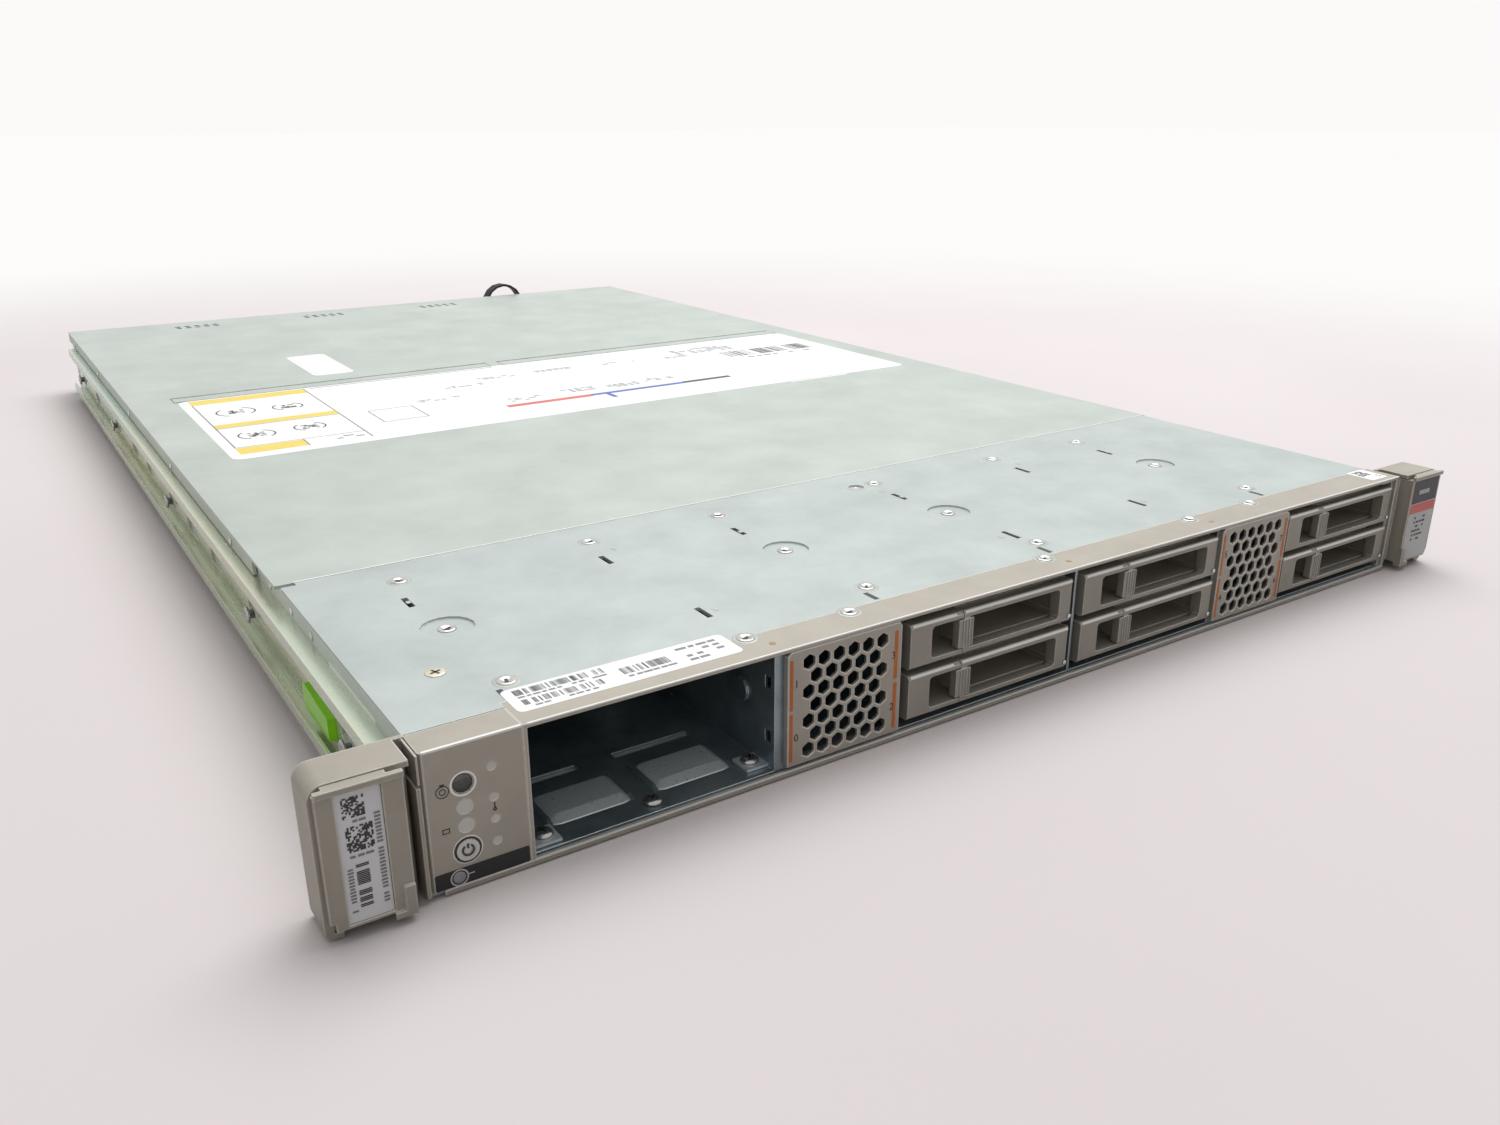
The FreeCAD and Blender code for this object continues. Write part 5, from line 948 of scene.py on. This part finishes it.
# %% [markdown]
# ## Asset card and inventory sticker
# The pull-out card in the left latch carries codes, and the right latch has a coloured sticker.
# Both are printed blocks on a `Sheet` that faces forward.

# %% Left card and right sticker
card = Sheet((-238.9, -3.9, 4.2), ACROSS, HIGH, "left_latch")
card.code(1.6, 29.0, 7.0, 34.6, 13, seed=21)
card.code(1.8, 19.6, 8.4, 26.6, 15, seed=22)
card.words(1.8, 27.2, 7.0, 28.6, 1, seed=23)
card.words(1.8, 17.6, 8.0, 19.0, 1, seed=24)
card.marks("print_black", 3.2, 3.2, 6.4, 16.0, 1, 26, 0.72, 0.95, 1.0, 0.62, seed=25)
card.marks("print_grey", 1.0, 2.6, 2.6, 15.4, 1, 14, 0.8, 0.7, 0.95, 0.55, seed=26)
card.marks("print_grey", 8.9, 3.0, 10.5, 29.0, 1, 26, 0.85, 0.75, 0.95, 0.55, seed=28)
sticker = Sheet((223.2, -4.6, 4.0), ACROSS, HIGH, "right_latch")
sticker.plate("label_grey", 0, 0, 19.6, 36.6, high=0.05, corner=0.8)
sticker.plate("print_black", 0.2, 26.0, 19.4, 36.4, 0.05, 0.09, corner=0.6)
sticker.plate("print_red", 0.2, 21.4, 19.4, 25.6, 0.05, 0.09)
sticker.marks("label_grey", 5.0, 29.4, 13.0, 32.2, 6, 1, 0.7, 0.6, 1.0, 0.7, seed=29)
sticker.words(4.4, 8.0, 13.6, 20.0, 6, seed=27, kept=0.7, colour="print_black")
print("card and sticker")

# %% [markdown]
# ## Bright folds
# Where painted sheet is folded, the tight outer bend catches the light as a thin white line.  A real
# fold has no width to speak of, so each line is a painted highlight: a sliver of near-white colour
# along the corner.  The bevelled rims of the fillers and the lid's front edge get the same painted highlight.

# %% Painted highlights along folds and rims
SLIVER = 0.03


def fold_line(x0, x1, z, reach):
    """A painted highlight as a sliver over a corner of the front face, from x0 to x1; it reaches back and a
    little down.
    """
    Sheet((0, 0, z), ACROSS, BACK).plate("bright_edge", x0, 0, x1, reach, high=SLIVER)
    Sheet((0, 0, z), ACROSS, HIGH).plate("bright_edge", x0, -reach * 0.6, x1, SLIVER, high=SLIVER)


fold_line(-215.8, -189.4, TOP, 0.9)
fold_line(-187.6, 218.2, TOP, 0.6)
fold_line(-212.6, 218.2, 1.6, 0.6)
# painted highlight along the lid's front edge at the seam
Sheet((0, 136.6, LID), ACROSS, BACK, "top_cover").plate("bright_edge", -212, 0, 216, 0.7, high=SLIVER)
slope = (0, math.sqrt(0.5), math.sqrt(0.5))
fillers = [(2 + 2 * column + row, left, low) for column, left in enumerate((-57.4, 22.4, 141.0))
           for row, low in enumerate((5.0, 22.9))]
for number, left, low in fillers:
    for body, x0, x1 in ((f"filler_{number}", 1.0, 19.6), (f"filler_lever_{number}", 23.4, 73.4)):
        # painted highlight along each filler's bevelled rim
        rim_sheet = Sheet((left, 0, low + 14.6), ACROSS, slope, body)
        rim_sheet.plate("bright_edge", x0, 0.1, x1, 0.95, high=SLIVER)
print("bright folds drawn")

# %% [markdown]
# ## Rails and their studs
# The inner rails hang on shouldered studs that stand in keyholes; each is a turned head with a
# narrow neck.  Rivets hold the sheet of the side walls and of the lid's skirts.

# %% Rail studs and rivets
keyholes = (58, 178, 343, 520, 676)
rail_stud = turned("rail_stud", [(1.7, -3.2), (1.7, -1.2), (3.1, -1.2), (3.1, -0.5), (2.7, -0.15),
                                 (1.2, -0.1), (1.0, -0.4), (0, -0.4)], 22)
wall_rivet = turned("wall_rivet", [(1.6, 0), (1.5, 0.3), (1.0, 0.55), (0, 0.6)], 16)
rows = (("rail_studs", rail_stud, 222.0, [y - 1.2 for y in keyholes], 19, "steel_pin", "pin_steel",
         "chassis"),
        ("wall_rivets", wall_rivet, 216.8, (98, 122, 150), 38.2, "bright_socket", "shell", "chassis"),
        ("skirt_rivets", wall_rivet, 218.3, (205, 330, 455, 580, 700), 38.4, "bright_socket", "shell",
         "top_cover"))
for name, form, from_middle, backs, height, finish, slot, body in rows:
    for side, sign, facing in (("left", -1, LEFTWARD), ("right", 1, RIGHTWARD)):
        places = [(from_middle * sign, y, height) for y in backs]
        repeat(f"{side}_{name}", form, places, facing, finish, body)

# %% [markdown]
# ## Filler levers
# Each blank carries a hinged lever; a bright pin end shows where it turns, and fine grip ribs are
# moulded on the finger pad.

# %% Lever pins and grip ribs
pin_end = turned("pin_end", [(0.9, 0), (0.85, 0.1), (0.5, 0.18), (0, 0.2)], 14)
rib = box_form("rib", [((-0.22, -4.6, 0), (0.22, 4.6, 0.14))])
for number, left, low in fillers:
    body = f"filler_lever_{number}"
    repeat(f"lever_pin_end_{number}", pin_end, [(left + 72.6, -0.3, low + 2.2)], FORWARD, "bright_socket",
           body)
    ribs = [(left + 22.4 + 1.3 * step, -0.3, low + 7.8) for step in range(4)]
    repeat(f"lever_ribs_{number}", rib, ribs, FORWARD, "filler_moulding", body)

# %% [markdown]
# ## Under the lid
# Nobody sees the main board until the cover is lifted, and then it is the whole picture: rows of
# capacitors by the processors, chips of several sizes and a coin cell.

# %% Capacitors and chips
can = turned("can", [(2.4, 0), (2.5, 0.3), (2.5, 5.0), (2.2, 5.4), (1.9, 5.3), (0, 5.3)], 14)
make_finish("can_skin", (60, 62, 70), (84, 86, 94), 200, 1200, rough=(0.25, 0.4), metal=0.6)
board_top = 7.6
cans = [(x, y, board_top) for x in (-190, -182, 176, 184, 192) for y in range(345, 470, 14)]
cans += [(x, 500, board_top) for x in range(-100, 44, 12)]
repeat("board_capacitors", can, cans, UP, "can_skin", turn=6.28, seed=5)
small_chip = box_form("small_chip", [((-3.2, -2.4, 0), (3.2, 2.4, 1.2)), ((-3.9, -2.0, 0), (3.9, 2.0, 0.3))])
large_chip = box_form("large_chip", [((-11, -11, 0), (11, 11, 0.9)), ((-8, -8, 0.9), (8, 8, 2.4))])
make_finish("chip_black", (26, 27, 29), (36, 37, 40), 120, 2200, rough=(0.4, 0.55), relief=0.05)
small = [(-200 + 17 * a, 300 + 7 * (a % 3), board_top) for a in range(23)]
small += [(-195 + 21 * a, 520 + 16 * (a % 4), board_top) for a in range(11)]
small += [(-190 + 23 * a, 610 + 22 * (a % 3), board_top) for a in range(10)]
repeat("board_small_chips", small_chip, small, UP, "chip_black")
large = [(-150, 560, board_top), (-60, 580, board_top), (-10, 640, board_top)]
repeat("board_large_chips", large_chip, large, UP, "chip_black")
cell = turned("cell", [(10, 0), (10, 2.6), (9.4, 3.2), (0, 3.2)], 28)
repeat("board_cell", cell, [(-100, 660, board_top)], UP, "bright_socket")
print("board populated")

# %% [markdown]
# ## The back of the machine
# Service staff work from the rear too: screws hold the panel and its slot covers, and each supply
# has a status lamp.

# %% Rear screws and supply lamps
REAR = (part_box("rear_panel")[1].y - front_face) / MM
screws("rear_panel_screws", [(-212, REAR, 37), (-212, REAR, 12), (50, REAR, 12), (50, REAR, 37)], BACKWARD,
       pan_head, pan_cross, "steel_pin", seed=6)
lamp_dot = turned("lamp_dot", [(1.5, 0), (1.4, 0.4), (0.9, 0.75), (0, 0.85)], 16)
make_finish("glow_green", (70, 190, 90), (96, 214, 112), 200, 1200, rough=(0.2, 0.3), coat=0.3)
for number, left in ((1, 54.5), (2, 135.5)):
    repeat(f"supply_lamp_{number}", lamp_dot, [(left + 43.5, 742.0, 34.5)], BACKWARD, "glow_green",
           body=f"power_supply_{number}")
print("rear details ready")

# %% [markdown]
# ## Turn the ink into pieces
# Each colour on each body has been gathered in one bmesh; it becomes one plain mesh with one
# material, and rides on its body.

# %% One piece for each colour and body
for (body, colour), solid in sorted(INK.items()):
    bmesh.ops.recalc_face_normals(solid, faces=solid.faces[:])
    mesh = bpy.data.meshes.new(f"{colour}_{body}")
    solid.to_mesh(mesh)
    solid.free()
    mesh.materials.clear()
    mesh.materials.append(FINISH[colour])
    for face in mesh.polygons:
        face.material_index = 0
    settle(f"{colour}_on_{body}", mesh, body)
for form in forms:
    bpy.data.objects.remove(form)
print("forms put away")

# %% [markdown]
# ## Measure and finish
# The visual model's box is measured and printed in millimetres. The visual model has to stay
# inside the CAD model's box.

# %% Sizes, then the last line
low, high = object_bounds()
print("visual box", [round(1000 * v, 1) for v in high - low], "mm")
